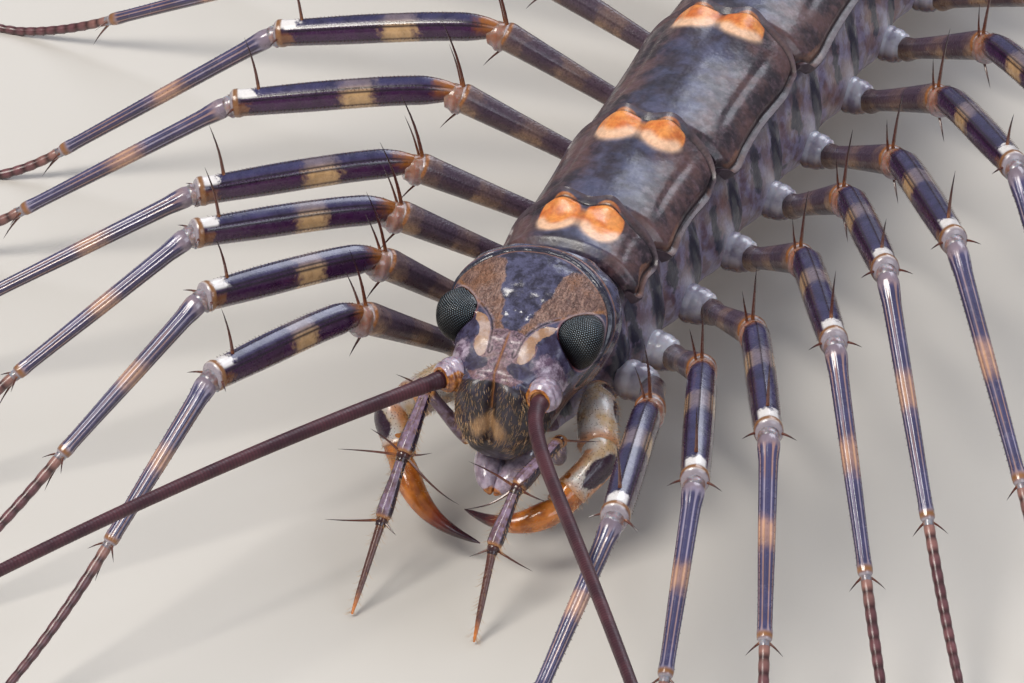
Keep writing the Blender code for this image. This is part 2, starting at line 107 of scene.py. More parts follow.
# Trunk and its plates
TRUNK_START = 1.2
TRUNK_END = 56.0
TAIL_LENGTH = 2.2
PLATE_ENDS = (4.0, 6.4, 11.7, 19.0, 30.1, 38.0, 45.2, 51.6, 54.9)
PLATE_GAP = 0.32
PLATE_REACH = math.radians(64.0)
PLATE_CORNER = 0.80
PLATE_LIFT = 0.30
SADDLE_HEIGHT = 0.40
SADDLE_SIDE = 0.190
SADDLE_WIDTH = 0.165
SQUARENESS = 0.80
FLANK_FLARE = 0.12

# Head, whose own length runs from the clypeus up and back to the rear rim
HEAD_MIDDLE = Vector((0.0, 0.5, 6.3))
HEAD_FRONT = -3.3
HEAD_REAR = 3.15
HEAD_TILT = math.radians(35.0)
HEAD_SQUARENESS = 0.85
CROWN_CROWDING = 0.40
SOCKET_MIDDLE = Vector((1.55, -1.62, 6.15))

# Feelers: direction in plan, rise at the root and turn of the first part
ANTENNA_LENGTH = 56.0
ANTENNA_RADIUS = 0.245
ANTENNA_TIP_RADIUS = 0.085
ANTENNA_BEND_LENGTH = 1.6
ANTENNA_STEP = 0.040
ANTENNAE = {"right": (25.5, 0.10, 0.0), "left": (33.5, 0.12, 34.0)}
CAD_ANTENNA_TIP = 0.14

# Joints of the palps and poison claws, from the root to the tip
PALPS = {
    "right": ((-1.52, -0.25, 3.05), (-2.55, -1.05, 5.05), (-2.62, -2.77, 3.70), (-2.69, -4.26, 2.20),
              (-2.74, -6.50, 0.12)),
    "left": ((1.52, -0.25, 3.05), (2.00, -1.38, 4.57), (1.24, -2.98, 3.60), (1.08, -4.49, 2.30),
             (1.26, -6.43, 0.12)),
}
CLAWS = {
    "right": ((-1.72, 2.55, 4.00), (-2.90, 1.00, 4.10), (-3.85, -0.75, 3.75), (-3.21, -1.44, 2.60),
              (-0.23, -2.35, 0.80)),
    "left": ((1.72, 2.55, 4.00), (2.35, 1.00, 3.95), (2.88, -0.40, 3.40), (2.09, -1.87, 2.40),
             (-0.71, -2.45, 2.00)),
}

# Studio: each light's place and size in metres, its power and its colour
WORLD_COLOUR = (236, 238, 244)
WORLD_STRENGTH = 0.28
FLOOR_REACH = 3.0
LIGHT_AIM = Vector((0.0, -0.02, 0.005))
LIGHTS = {
    "key": ((-0.16, -0.28, 0.42), 0.22, 2.5, (255, 250, 242)),
    "fill": ((0.34, -0.24, 0.22), 0.26, 0.6, (235, 242, 255)),
    "back": ((0.06, 0.36, 0.36), 0.30, 1.2, (240, 244, 255)),
}


# Smooth numbers

def smooth(value):
    """A smooth step from 0 to 1, for a number or an array."""
    value = np.clip(value, 0.0, 1.0)
    return value * value * (3.0 - 2.0 * value)


def blend_along(value, stations):
    """Read a smooth curve, with no overshoot, through a few (place, size) stations."""
    place, size = np.array(stations, dtype=float).T
    value = np.clip(np.asarray(value, dtype=float), place[0], place[-1])
    step = np.diff(place)
    secant = np.diff(size) / step
    product = secant[1:] * secant[:-1]
    total = np.where(product > 0.0, secant[1:] + secant[:-1], 1.0)
    slope = np.concatenate((secant[:1], np.where(product > 0.0, 2.0 * product / total, 0.0), secant[-1:]))
    i = np.clip(np.searchsorted(place, value, side="right") - 1, 0, len(step) - 1)
    t = (value - place[i]) / step[i]
    return (size[i] * (1.0 + 2.0 * t) * (1.0 - t) ** 2 + size[i + 1] * t * t * (3.0 - 2.0 * t)
            + slope[i] * step[i] * t * (1.0 - t) ** 2 + slope[i + 1] * step[i] * t * t * (t - 1.0))


def bell(value, middle, width):
    return np.exp(-((value - middle) / width) ** 2)


def unit(vectors):
    """The same directions, each with a length of 1."""
    return vectors / np.linalg.norm(vectors, axis=-1, keepdims=True)


def stacked(x, y, z):
    """Points from their three sizes, each a number or an array."""
    return np.stack(np.broadcast_arrays(x, y, z), axis=-1)


def squared(value, power):
    """Raise a sine or cosine to a power and keep its sign."""
    return np.sign(value) * np.abs(value) ** power


def lattice(cell):
    """A fixed pseudo-random number from 0 to 1 for each whole-number cell."""
    mixed = np.sin(cell[..., 0] * 127.1 + cell[..., 1] * 311.7 + cell[..., 2] * 74.7) * 43758.5453
    return mixed - np.floor(mixed)


def rough(points, size, layers=3):
    """Smooth noise from -1 to 1 at points, whose largest lumps have this size."""
    total = np.zeros(points.shape[:-1])
    weight = 1.0
    weights = 0.0
    for layer in range(layers):
        place = points / size * 2.0 ** layer + 17.3 * layer
        cell = np.floor(place)
        share = smooth(place - cell)
        value = np.zeros(points.shape[:-1])
        for corner in np.ndindex(2, 2, 2):
            step = np.array(corner)
            near = np.where(step == 1, share, 1.0 - share).prod(axis=-1)
            value += lattice(cell + step) * near
        total += (value * 2.0 - 1.0) * weight
        weights += weight
        weight *= 0.5
    return total / weights


def towards(place, points):
    """Distance of each point from a bent line through a few places, in the plane."""
    best = np.full(place.shape[:-1], 1e9)
    line = np.asarray(points, dtype=float)
    for start, end in zip(line, line[1:]):
        along = end - start
        share = np.clip(((place - start) @ along) / (along @ along), 0.0, 1.0)
        near = start + share[..., None] * along
        best = np.minimum(best, np.linalg.norm(place - near, axis=-1))
    return best


def curved(points, steps=6):
    """Smooth a few places into a finer line through them."""
    line = np.asarray(points, dtype=float)
    ends = np.vstack((2.0 * line[0] - line[1], line, 2.0 * line[-1] - line[-2]))
    fine = []
    for a, b, c, d in zip(ends, ends[1:], ends[2:], ends[3:]):
        for step in range(steps):
            t = step / steps
            fine.append(0.5 * (2.0 * b + (c - a) * t + (2.0 * a - 5.0 * b + 4.0 * c - d) * t ** 2
                               + (3.0 * b - a - 3.0 * c + d) * t ** 3))
    fine.append(line[-1])
    return np.array(fine)


def read_along(shares, spots, line):
    """Points at shares of a line whose own points lie at the given spots."""
    return np.stack([np.interp(shares, spots, line[:, axis]) for axis in range(3)], axis=-1)


def inside(place, outline):
    """Whether each place in the plane lies inside a closed outline."""
    ring = np.asarray(outline, dtype=float)
    hit = np.zeros(place.shape[:-1], dtype=bool)
    x = place[..., 0]
    y = place[..., 1]
    for (x1, y1), (x2, y2) in zip(ring, np.roll(ring, -1, axis=0)):
        if y1 == y2:
            continue
        crosses = (y1 > y) != (y2 > y)
        hit ^= crosses & (x < (x2 - x1) * (y - y1) / (y2 - y1) + x1)
    return hit


def patch(place, outline, edge):
    """1 well inside an outline and 0 outside it, with a soft edge."""
    ring = curved(np.vstack((outline, outline[:1])), 4)
    gap = towards(place, ring)
    signed = np.where(inside(place, ring), gap, -gap)
    return smooth(0.5 + signed / edge)


# Shapes

class Shape:
    """Gathers points, faces and values at the points, and makes one mesh."""

    def __init__(self):
        self.parts = []
        self.count = 0

    def add(self, points, faces, kind=0, root=(0.0, 0.0), **values):
        """Add points with faces between them; kind is the material's number."""
        points = np.asarray(points, dtype=float).reshape(-1, 3)
        faces = np.asarray(faces, dtype=np.int64) + self.count
        self.parts.append((points, faces, kind, root, values))
        self.count += len(points)

    def piece(self, name, materials, slot, *nodes, sharp=50.0, coat=False):
        """Make the object, ride it on the body and let it stand for its nodes."""
        points, faces, kinds, roots, values = zip(*self.parts)
        loops = np.concatenate([block.reshape(-1) for block in faces])
        sizes = np.concatenate([np.full(len(block), block.shape[1]) for block in faces])
        mesh = bpy.data.meshes.new(name)
        mesh.vertices.add(self.count)
        mesh.vertices.foreach_set("co", ((np.vstack(points) - MIDDLE) * MM).reshape(-1))
        mesh.loops.add(len(loops))
        mesh.loops.foreach_set("vertex_index", loops)
        mesh.polygons.add(len(sizes))
        mesh.polygons.foreach_set("loop_start", np.cumsum(sizes) - sizes)
        mesh.polygons.foreach_set("material_index", np.repeat(kinds, [len(block) for block in faces]))
        mesh.update(calc_edges=True)
        for material in materials:
            mesh.materials.append(material)
        for key in sorted({key for marks in values for key in marks}):
            data = [np.broadcast_to(marks.get(key, 0.0), len(block)) for marks, block in zip(values, points)]
            layer = mesh.attributes.new(key, "FLOAT", "POINT")
            layer.data.foreach_set("value", np.concatenate(data))
        if coat:
            places = np.vstack([np.broadcast_to(root, (len(block), 2)) for root, block in zip(roots, points)])
            layer = mesh.uv_layers.new(name="OFBake")
            layer.data.foreach_set("uv", places[loops].reshape(-1))
        mesh.shade_smooth()
        mesh.set_sharp_from_angle(angle=math.radians(sharp))
        item = bpy.data.objects.new(name, mesh)
        bpy.context.scene.collection.objects.link(item)
        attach(item, "root")
        if nodes:
            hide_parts(*nodes)
        return item


def grid_faces(rows, columns, closed):
    """Four-sided faces over a grid of points, closed round its columns or not."""
    wide = columns if closed else columns - 1
    i, j = np.meshgrid(np.arange(rows - 1), np.arange(wide), indexing="ij")
    k = (j + 1) % columns
    return np.stack((i * columns + j, i * columns + k, (i + 1) * columns + k, (i + 1) * columns + j),
                    axis=-1).reshape(-1, 4)


def turns(sides):
    """Angles round a closed ring, from -pi, where 0 is the top."""
    return (np.arange(sides) / sides * 2.0 - 1.0) * math.pi


def frames_along(path):
    """Sideways and upward directions along a path of points."""
    ahead = unit(np.gradient(path, axis=0))
    across = unit(np.cross(ahead, UP))
    return across, np.cross(across, ahead)


def over_grid(value, rows, columns):
    """A value for the whole grid, for each row or for each point, as one list."""
    value = np.asarray(value, dtype=float)
    if value.ndim == 1:
        value = value[:, None]
    return np.broadcast_to(value, (rows, columns)).reshape(-1)


def add_grid(shape, points, kind=0, **values):
    """A closed tube over a grid of points, with a cap at each end."""
    rows, columns = points.shape[:2]
    start = shape.count
    data = {name: over_grid(value, rows, columns) for name, value in values.items()}
    shape.add(points, grid_faces(rows, columns, True), kind, **data)
    for row, order in ((0, (2, 1, 0)), (rows - 1, (0, 1, 2))):
        edge = start + row * columns + np.arange(columns) - shape.count
        fan = np.stack((edge, np.roll(edge, -1), np.zeros(columns, dtype=int)), axis=-1)[:, order]
        ends = {name: value[row * columns] for name, value in data.items()}
        shape.add(points[row].mean(axis=0), fan, kind, **ends)


def add_tube(shape, path, radii, sides=12, kind=0, wide=1.0, tall=1.0, angle=None, **values):
    """A closed tube along a path; its radii may differ round it as well."""
    path = np.asarray(path, dtype=float)
    angle = turns(sides) if angle is None else angle
    radii = np.asarray(radii, dtype=float)
    if radii.ndim == 1:
        radii = radii[:, None]
    across, above = frames_along(path)
    ring = (path[:, None] + across[:, None] * (radii * np.sin(angle) * wide)[..., None]
            + above[:, None] * (radii * np.cos(angle) * tall)[..., None])
    share = np.linspace(0.0, 1.0, len(path))
    data = {"along": share, "around": (angle / math.pi)[None]}
    data.update(values)
    add_grid(shape, ring, kind, **data)
    return ring


def add_spine(shape, root, tip, radius, kind=0, bow=(0.0, 0.0, 0.0), steps=6, **values):
    """A tapering six-sided spine, bent by a bow, that ends in a point."""
    root = np.asarray(root, dtype=float)
    tip = np.asarray(tip, dtype=float)
    share = np.linspace(0.0, 1.0, steps + 1)
    path = root + (tip - root) * share[:, None] + np.outer(np.sin(math.pi * share), bow)
    radii = radius * (1.0 - share) ** 0.8 + radius * 0.06
    add_tube(shape, path, radii, 6, kind, **values)


def add_hairs(shape, roots, tips, radius, kind=0, bows=None, maps=None):
    """Many fine hairs: three-sided, bent once, each ending in a point."""
    roots = np.asarray(roots, dtype=float)
    tips = np.asarray(tips, dtype=float)
    count = len(roots)
    along = tips - roots
    ahead = unit(along)
    helper = np.where(np.abs(ahead[:, 2:]) < 0.9, np.array((0.0, 0.0, 1.0)), np.array((1.0, 0.0, 0.0)))
    across = unit(np.cross(ahead, helper))
    above = np.cross(across, ahead)
    bend = np.zeros_like(roots) if bows is None else np.asarray(bows, dtype=float)
    points = np.zeros((count, 7, 3))
    for row, (share, size) in enumerate(((0.0, 1.0), (0.55, 0.75))):
        centre = roots + along * share + bend * math.sin(math.pi * share * 0.9)
        for side in range(3):
            turn = side * 2.0 * math.pi / 3.0
            edge = across * math.cos(turn) + above * math.sin(turn)
            points[:, row * 3 + side] = centre + edge * radius * size
    points[:, 6] = tips
    base = np.arange(count)[:, None, None] * 7
    strips = np.array([(0, 1, 4), (0, 4, 3), (1, 2, 5), (1, 5, 4), (2, 0, 3), (2, 3, 5), (3, 4, 6),
                       (4, 5, 6), (5, 3, 6)])
    faces = (base + strips[None]).reshape(-1, 3)
    share = np.tile(np.array((0.0,) * 3 + (0.55,) * 3 + (1.0,)), count)
    places = (0.0, 0.0)
    # Each hair keeps a small triangle of the map round its root's place
    if maps is not None:
        corner = np.array([(0.0, 0.0), (0.001, 0.0), (0.0, 0.001), (0.0, 0.002), (0.001, 0.002),
                           (0.002, 0.002), (0.002, 0.003)])
        places = (np.asarray(maps)[:, None] + corner[None]).reshape(-1, 2)
    shape.add(points, faces, kind, root=places, along=share)


# Materials

# Where a limb segment's pale end cap begins and where it is full
CAP = (0.985, 0.993)


def tone(red, green, blue):
    """A colour given as a picture shows it, from 0 to 255, as the shader takes it."""
    parts = [value / 255.0 for value in (red, green, blue)]
    linear = [v / 12.92 if v <= 0.04045 else ((v + 0.055) / 1.055) ** 2.4 for v in parts]
    return (*linear, 1.0)


class Signal:
    """A number or colour inside a material; arithmetic on it adds nodes."""

    def __init__(self, paint, socket):
        self.paint = paint
        self.socket = socket

    def math(self, operation, other=None):
        return self.paint.node("ShaderNodeMath", {"operation": operation}, {0: self, 1: other})

    def __add__(self, other):
        return self.math("ADD", other)

    def __sub__(self, other):
        return self.math("SUBTRACT", other)

    def __mul__(self, other):
        return self.math("MULTIPLY", other)

    def __or__(self, other):
        """The larger of the two."""
        return self.math("MAXIMUM", other)

    def __abs__(self):
        return self.math("ABSOLUTE")

    def step(self, low, high, bottom=0.0, top=1.0):
        """A smooth step, from bottom at low to top at high."""
        inputs = {"Value": self, "From Min": low, "From Max": high, "To Min": bottom, "To Max": top}
        return self.paint.node("ShaderNodeMapRange", {"interpolation_type": "SMOOTHSTEP"}, inputs)

    def band(self, low, high, edge):
        """1 between two values and 0 beyond them."""
        return self.step(low - edge, low + edge) * self.step(high - edge, high + edge, 1.0, 0.0)

    def mix(self, first, second):
        """The first colour where this is 0, and the second where it is 1."""
        pair = [tone(*colour) if isinstance(colour, tuple) else colour for colour in (first, second)]
        return self.paint.node("ShaderNodeMix", {"data_type": "RGBA"}, {0: self, 6: pair[0], 7: pair[1]}, 2)

    def layers(self, *layers):
        """Colours painted over this one, each where its mask or mark is 1."""
        colour = self
        for mask, paint in layers:
            mask = self.paint.value(mask) if isinstance(mask, str) else mask
            colour = mask.mix(colour, paint)
        return colour

    def shade(self, factor, low, high):
        """This colour darkened or lightened by a factor that runs from low to high."""
        gain = factor.step(0.25, 0.75, low, high)
        return self.paint.node("ShaderNodeVectorMath", {"operation": "SCALE"}, {0: self, "Scale": gain})


class Finish:
    """One material, with short names for the nodes that it is made of."""

    def __init__(self, name, **sockets):
        self.material = bpy.data.materials.new(name)
        self.material.use_nodes = True
        self.tree = self.material.node_tree
        self.shader = self.tree.nodes["Principled BSDF"]
        for socket, value in sockets.items():
            self.shader.inputs[socket.replace("_", " ")].default_value = value

    def node(self, kind, settings=(), inputs=(), output=0):
        item = self.tree.nodes.new(kind)
        for key, value in dict(settings).items():
            setattr(item, key, value)
        for key, value in dict(inputs).items():
            self.put(item.inputs[key], value)
        return Signal(self, item.outputs[output])

    def put(self, socket, value):
        if isinstance(value, Signal):
            self.tree.links.new(value.socket, socket)
        elif value is not None:
            socket.default_value = value

    def value(self, name):
        """A number that the mesh carries at its points."""
        return self.node("ShaderNodeAttribute", {"attribute_name": name}, (), "Fac")

    def place(self, stretch):
        """The place in the object, in millimetres."""
        spot = self.node("ShaderNodeTexCoord", (), (), "Object")
        scale = tuple(part / MM for part in stretch)
        return self.node("ShaderNodeVectorMath", {"operation": "MULTIPLY"}, {0: spot, 1: scale})

    def noise(self, size, detail=3.0, roughness=0.55, stretch=(1.0, 1.0, 1.0)):
        """Cloudy noise from 0 to 1 whose lumps are about this size."""
        inputs = {"Vector": self.place(stretch), "Scale": 1.0 / size, "Detail": detail,
                  "Roughness": roughness}
        return self.node("ShaderNodeTexNoise", (), inputs)

    def cells(self, size):
        """Distance to the nearest of many scattered dots, about this far apart."""
        inputs = {"Vector": self.place((1.0, 1.0, 1.0)), "Scale": 1.0 / size}
        return self.node("ShaderNodeTexVoronoi", (), inputs, "Distance")

    def clouds(self, size, first, second, detail=3.0, roughness=0.55, span=(0.35, 0.65)):
        """Two colours, mottled in lumps of about this size."""
        return self.noise(size, detail, roughness).step(*span).mix(first, second)

    def ragged(self, size, depth, detail=3.0, roughness=0.55):
        """Noise round 0 that frays the edges of the masks it is added to."""
        return (self.noise(size, detail, roughness) - 0.5) * depth

    def mask(self, name, fray, low, high, top=1.0):
        """Where the mesh carries a mark, with a frayed edge."""
        return (self.value(name) + fray).step(low, high, 0.0, top)

    def gloss(self, size, low, high):
        """A roughness that wanders between two values."""
        return self.noise(size).step(0.3, 0.7, low, high)

    def bump(self, *heights):
        """Relief from (height, depth in millimetres) pairs, one over another."""
        normal = None
        for height, depth in heights:
            inputs = {"Height": height, "Distance": depth * MM, "Normal": normal}
            normal = self.node("ShaderNodeBump", (), inputs)
        self.put(self.shader.inputs["Normal"], normal)

    def done(self, colour, roughness=None):
        self.put(self.shader.inputs["Base Color"], colour)
        self.put(self.shader.inputs["Roughness"], roughness)
        return self.material


def femur_finish():
    """Slate blue above, partly the shell's colour and partly a painted sheen from the light above;
    purple-black at the sides, with a pale band and spot.
    """
    paint = Finish("femur_shell", Coat_Weight=0.5, Coat_Roughness=0.14, Specular_IOR_Level=0.55)
    along = paint.value("along")
    around = abs(paint.value("around"))
    edge = along + paint.ragged(0.20, 0.13, 5.0, 0.65)
    # The top's lighter slate blue is partly the shell's colour and partly a painted sheen from the light
    # above
    top = around.step(0.12, 0.36, 1.0, 0.0)
    band = edge.band(0.37, 0.51, 0.030) * top.step(0.0, 1.0, 1.0, 0.50)
    pale = top.mix((186, 150, 108), (146, 130, 132)).shade(paint.noise(0.3), 0.8, 1.15)
    root = edge.step(0.05, 0.14, 1.0, 0.0) * around.step(0.35, 0.6, 1.0, 0.25)
    spot = edge.step(0.875, 0.905) * around.step(0.20, 0.29, 1.0, 0.0)
    tip = edge.step(0.90, 0.93) * around.step(0.3, 0.45)
    speck = paint.cells(0.075).step(0.05, 0.20, 1.0, 0.0) * 0.30
    # Slate blue on top, partly a painted sheen, and purple-black at the sides
    colour = top.mix((54, 22, 58), (52, 50, 84)).shade(paint.noise(0.5), 0.72, 1.3).layers(
        (around.step(0.72, 0.85) * 0.55, (88, 60, 64)), (band, pale), (speck, (110, 100, 130)),
        (root, (148, 88, 36)), (tip, (112, 70, 46)), ("line", (22, 10, 24)), (spot, (226, 222, 222)),
        ("rim", (134, 92, 58)), (along.step(*CAP), (150, 140, 148)))
    paint.bump((paint.noise(0.5, 2.0), 0.006), (paint.cells(0.06), 0.003))
    return paint.done(colour, paint.gloss(0.2, 0.20, 0.36))


def tibia_finish():
    """Fine dark ribs, blue-grey on top where the colour is partly the shell's own and partly a painted sheen,
    with pale pinkish grooves, an orange-tan band and ends.
    """
    paint = Finish("tibia_shell", Coat_Weight=0.5, Coat_Roughness=0.12, Specular_IOR_Level=0.6)
    along = paint.value("along")
    rib = paint.value("rib")
    edge = along + paint.ragged(0.4, 0.10)
    # Blue-grey on top and purple at the sides; the lighter top is partly a painted sheen from the light above
    dark = abs(paint.value("around")).step(0.2, 0.7).mix((66, 64, 98), (48, 30, 54))
    groove = paint.clouds(1.6, (150, 142, 164), (160, 126, 118), 1.0)
    band = edge.band(0.43, 0.56, 0.045) * 0.88 * rib.step(0.55, 1.0, 1.0, 0.55)
    ends = edge.step(0.035, 0.085, 1.0, 0.0) | edge.step(0.95, 0.985)
    colour = dark.layers((rib.step(0.30, 0.75, 0.85, 0.0), groove), (band, (196, 152, 124)),
                         (ends, (126, 112, 124)), ("rim", (140, 96, 62)),
                         (along.step(*CAP), (150, 140, 146)))
    paint.bump((paint.noise(0.12), 0.006))
    return paint.done(colour.shade(paint.noise(0.9, 2.0), 0.85, 1.15), paint.gloss(0.3, 0.16, 0.30))


def prefemur_finish():
    """Tan-brown with dusky bands, a painted sheen along the top and a clear amber end."""
    paint = Finish("prefemur_shell", Coat_Weight=0.35, Coat_Roughness=0.2)
    along = paint.value("along")
    edge = along + paint.ragged(0.3, 0.16, 4.0)
    # A greyish-lilac painted sheen along the top
    top = abs(paint.value("around")).step(0.35, 0.6, 0.6, 0.0)
    colour = paint.clouds(0.7, (150, 118, 92), (104, 78, 70)).layers(
        (edge.band(0.20, 0.42, 0.03) * 0.75, (66, 44, 62)),
        (edge.band(0.60, 0.86, 0.03) * 0.85, (54, 34, 52)), (top, (78, 66, 84)), ("line", (44, 26, 36)),
        ("rim", (140, 88, 46)), (along.step(*CAP), (168, 156, 158)))
    speck = paint.cells(0.07)
    paint.bump((paint.noise(0.25), 0.015), (speck, 0.01))
    return paint.done(colour.shade(speck, 0.8, 1.1), paint.gloss(0.2, 0.26, 0.44))


def coxa_finish():
    """Milky lilac knobs with soft folds and brownish sides."""
    paint = Finish("coxa_shell", Coat_Weight=0.6, Coat_Roughness=0.1, Subsurface_Weight=0.15,
                   Subsurface_Scale=0.0004)
    cloud = paint.noise(0.6)
    pale = cloud.step(0.40, 0.70).mix((208, 206, 218), (150, 142, 164))
    low = paint.clouds(0.3, (118, 88, 78), (86, 66, 80), span=(0.4, 0.6))
    paint.bump((paint.noise(0.5, 2.0), 0.03), (paint.noise(0.1), 0.006))
    return paint.done(paint.value("top").step(0.25, 0.75).mix(low, pale), cloud.step(0.3, 0.7, 0.18, 0.34))


def tarsus_finish():
    """Maroon-brown, ringed at each little joint, and amber at the tip."""
    paint = Finish("tarsus_shell", Coat_Weight=0.3, Coat_Roughness=0.2)
    along = paint.value("along")
    colour = paint.clouds(1.4, (112, 70, 74), (88, 52, 58), 2.0).layers(
        (along.step(0.0, 0.10, 0.5, 0.0), (176, 132, 116)), ("ring", (52, 24, 26)),
        (along.step(0.80, 1.0), (168, 96, 40)))
    paint.bump((paint.noise(0.08, 2.0), 0.006))
    return paint.done(colour.shade(paint.noise(0.3), 0.85, 1.15), paint.gloss(0.2, 0.28, 0.42))


def membrane_finish():
    """Thin, milky skin in the joints."""
    paint = Finish("joint_skin", Subsurface_Weight=0.35, Subsurface_Scale=0.0006, Coat_Weight=0.5,
                   Coat_Roughness=0.12)
    cloud = paint.noise(0.25)
    colour = cloud.step(0.3, 0.7).mix((162, 154, 164), (108, 90, 96)).layers(("amber", (158, 92, 34)))
    paint.bump((paint.noise(0.09, 2.0), 0.01))
    return paint.done(colour, cloud.step(0.3, 0.7, 0.2, 0.36))


def spine_finish():
    """Amber-brown at the root and dark red-brown at the point."""
    paint = Finish("spine_brown", Coat_Weight=0.5, Coat_Roughness=0.12)
    share = paint.value("along") + paint.ragged(0.25, 0.4)
    colour = share.step(-0.05, 0.22).mix((150, 90, 40), (92, 50, 40))
    paint.bump((paint.noise(0.05, 2.0, stretch=(1.0, 1.0, 0.3)), 0.004))
    return paint.done(colour.layers((share.step(0.25, 0.85), (46, 24, 30))), paint.gloss(0.1, 0.18, 0.32))


def hair_finish(name, root, tip):
    """One colour at the root that runs into another at the tip."""
    paint = Finish(name, Specular_IOR_Level=0.6)
    share = paint.value("along") + paint.ragged(0.5, 1.0, 1.0)
    return paint.done(share.step(0.0, 1.0).mix(root, tip), 0.35)


def feeler_finish():
    """Dark maroon rings with a faint plum bloom."""
    paint = Finish("feeler_maroon", Specular_IOR_Level=0.45)
    colour = paint.clouds(1.1, (82, 44, 52), (60, 30, 40)).layers(
        (paint.value("along").step(0.25, 1.0, 0.0, 0.6), (116, 74, 66)),
        (paint.value("ring") * 0.5, (38, 18, 24)))
    paint.bump((paint.noise(0.05), 0.008))
    return paint.done(colour, paint.gloss(0.15, 0.34, 0.52))


def palp_finish():
    """Dark edges round a lilac face, with tan ends."""
    paint = Finish("palp_shell", Coat_Weight=0.45, Coat_Roughness=0.15)
    along = paint.value("along")
    cloud = paint.noise(0.18, 4.0)
    ends = along.step(0.02, 0.10, 1.0, 0.0) | along.step(0.90, 0.97)
    colour = cloud.step(0.35, 0.65).mix((142, 122, 146), (98, 72, 80)).layers(
        (paint.value("rib").step(0.35, 0.65), (42, 26, 44)), ("foot", (84, 48, 42)), (ends, (160, 110, 66)),
        ("tip", (196, 112, 34)))
    paint.bump((paint.noise(0.06), 0.008))
    return paint.done(colour, cloud.step(0.3, 0.7, 0.2, 0.36))


def claw_finish():
    """Clear amber that darkens into a maroon-black point."""
    paint = Finish("claw_amber", Coat_Weight=0.7, Coat_Roughness=0.08, Subsurface_Weight=0.2,
                   Subsurface_Scale=0.0006)
    share = paint.value("tip") + paint.ragged(0.5, 0.12)
    colour = paint.clouds(0.55, (196, 116, 42), (140, 72, 28), 4.0).layers(
        ("base", (186, 140, 88)), (share.step(0.40, 0.62), (110, 44, 22)),
        (share.step(0.55, 0.80), (44, 16, 26)))
    paint.bump((paint.noise(0.3), 0.012), (paint.noise(0.06, 2.0), 0.004))
    return paint.done(colour, paint.gloss(0.2, 0.12, 0.26))


def claw_base_finish():
    """Cream dotted with dark brown, with ragged purple-black patches."""
    paint = Finish("claw_base", Coat_Weight=0.5, Coat_Roughness=0.14, Subsurface_Weight=0.1,
                   Subsurface_Scale=0.0005)
    along = paint.value("along")
    fray = paint.ragged(0.22, 0.55, 5.0, 0.7)
    amber = along.step(0.84, 1.0) | along.step(0.0, 0.12, 1.0, 0.0) | paint.mask("warm", fray, 0.3, 0.8)
    dots = paint.cells(0.070).step(0.15, 0.28, 1.0, 0.0)
    colour = paint.clouds(0.9, (196, 190, 188), (184, 154, 116), span=(0.42, 0.68)).layers(
        (amber * 0.8, (190, 118, 52)), (dots, (92, 66, 60)),
        (paint.mask("dark", fray, 0.44, 0.56), (50, 28, 46)))
    paint.bump((paint.noise(0.4), 0.02), (dots, 0.012))
    return paint.done(colour, paint.gloss(0.2, 0.2, 0.34))


def head_finish():
    """Slate dome, tan fuzz, cream patches, speckled face and dark seams."""
    paint = Finish("head_shell", Coat_Weight=0.32, Coat_Roughness=0.12, Specular_IOR_Level=0.55)
    fine = paint.noise(0.05)
    cloud = paint.noise(0.35, 5.0, 0.65)
    blotch = cloud.step(0.4, 0.6)
    fray = paint.ragged(0.14, 0.75, 5.0, 0.7)
    streaks = paint.noise(0.10, 4.0, 0.7, (1.0, 0.35, 0.35)).step(0.36, 0.64)
    fuzz = streaks.mix((146, 114, 102), (92, 64, 60)).layers(
        (paint.noise(0.9, 2.0).step(0.45, 0.65, 0.0, 0.6), (134, 88, 56)))
    lilac = paint.clouds(0.09, (138, 110, 122), (64, 45, 62), 5.0, 0.7, (0.36, 0.64)).layers(
        (paint.noise(0.5, 2.0).step(0.4, 0.7, 0.0, 0.6), (112, 76, 64)))
    tan_mask = paint.mask("tan", paint.ragged(0.55, 1.9, 6.0, 0.7), 0.34, 0.66)
    lilac_mask = paint.mask("lilac", fray, 0.38, 0.62)
    lobe_mask = paint.mask("lobe", fray, 0.40, 0.60)
    colour = cloud.step(0.38, 0.62).mix((48, 46, 62), (84, 84, 112)).layers(
        ("under", blotch.mix((78, 52, 54), (116, 82, 70))), (tan_mask, fuzz), (lilac_mask, lilac),
        (paint.mask("dark", fray, 0.42, 0.58), blotch.mix((44, 36, 58), (66, 62, 90))),
        (paint.mask("cream", fray, 0.42, 0.55),
         paint.clouds(0.40, (180, 158, 150), (156, 120, 94), span=(0.38, 0.62))),
        (paint.mask("mound", fray, 0.35, 0.65), blotch.mix((160, 144, 162), (92, 72, 92))),
        (lobe_mask, blotch.mix((30, 17, 18), (40, 32, 48))),
        (paint.mask("lip", fray * 1.3, 0.10, 1.05, 0.85), (158, 122, 86)), ("ochre", (146, 98, 58)),
        ("pale", (146, 124, 132)), ("line", (26, 18, 26)), ("rim", (38, 38, 54)), ("edge", (138, 98, 80)),
        ("red", (140, 62, 46)), ("milk", (158, 138, 144)))
    paint.bump((paint.noise(0.7, 2.0), 0.08), (cloud, 0.018), (fine, 0.003),
               (paint.cells(0.085) * tan_mask, 0.02))
    dull = tan_mask | lobe_mask | lilac_mask * 0.7
    return paint.done(colour.shade(fine, 0.82, 1.12), dull.step(0.0, 1.0, 0.20, 0.50))


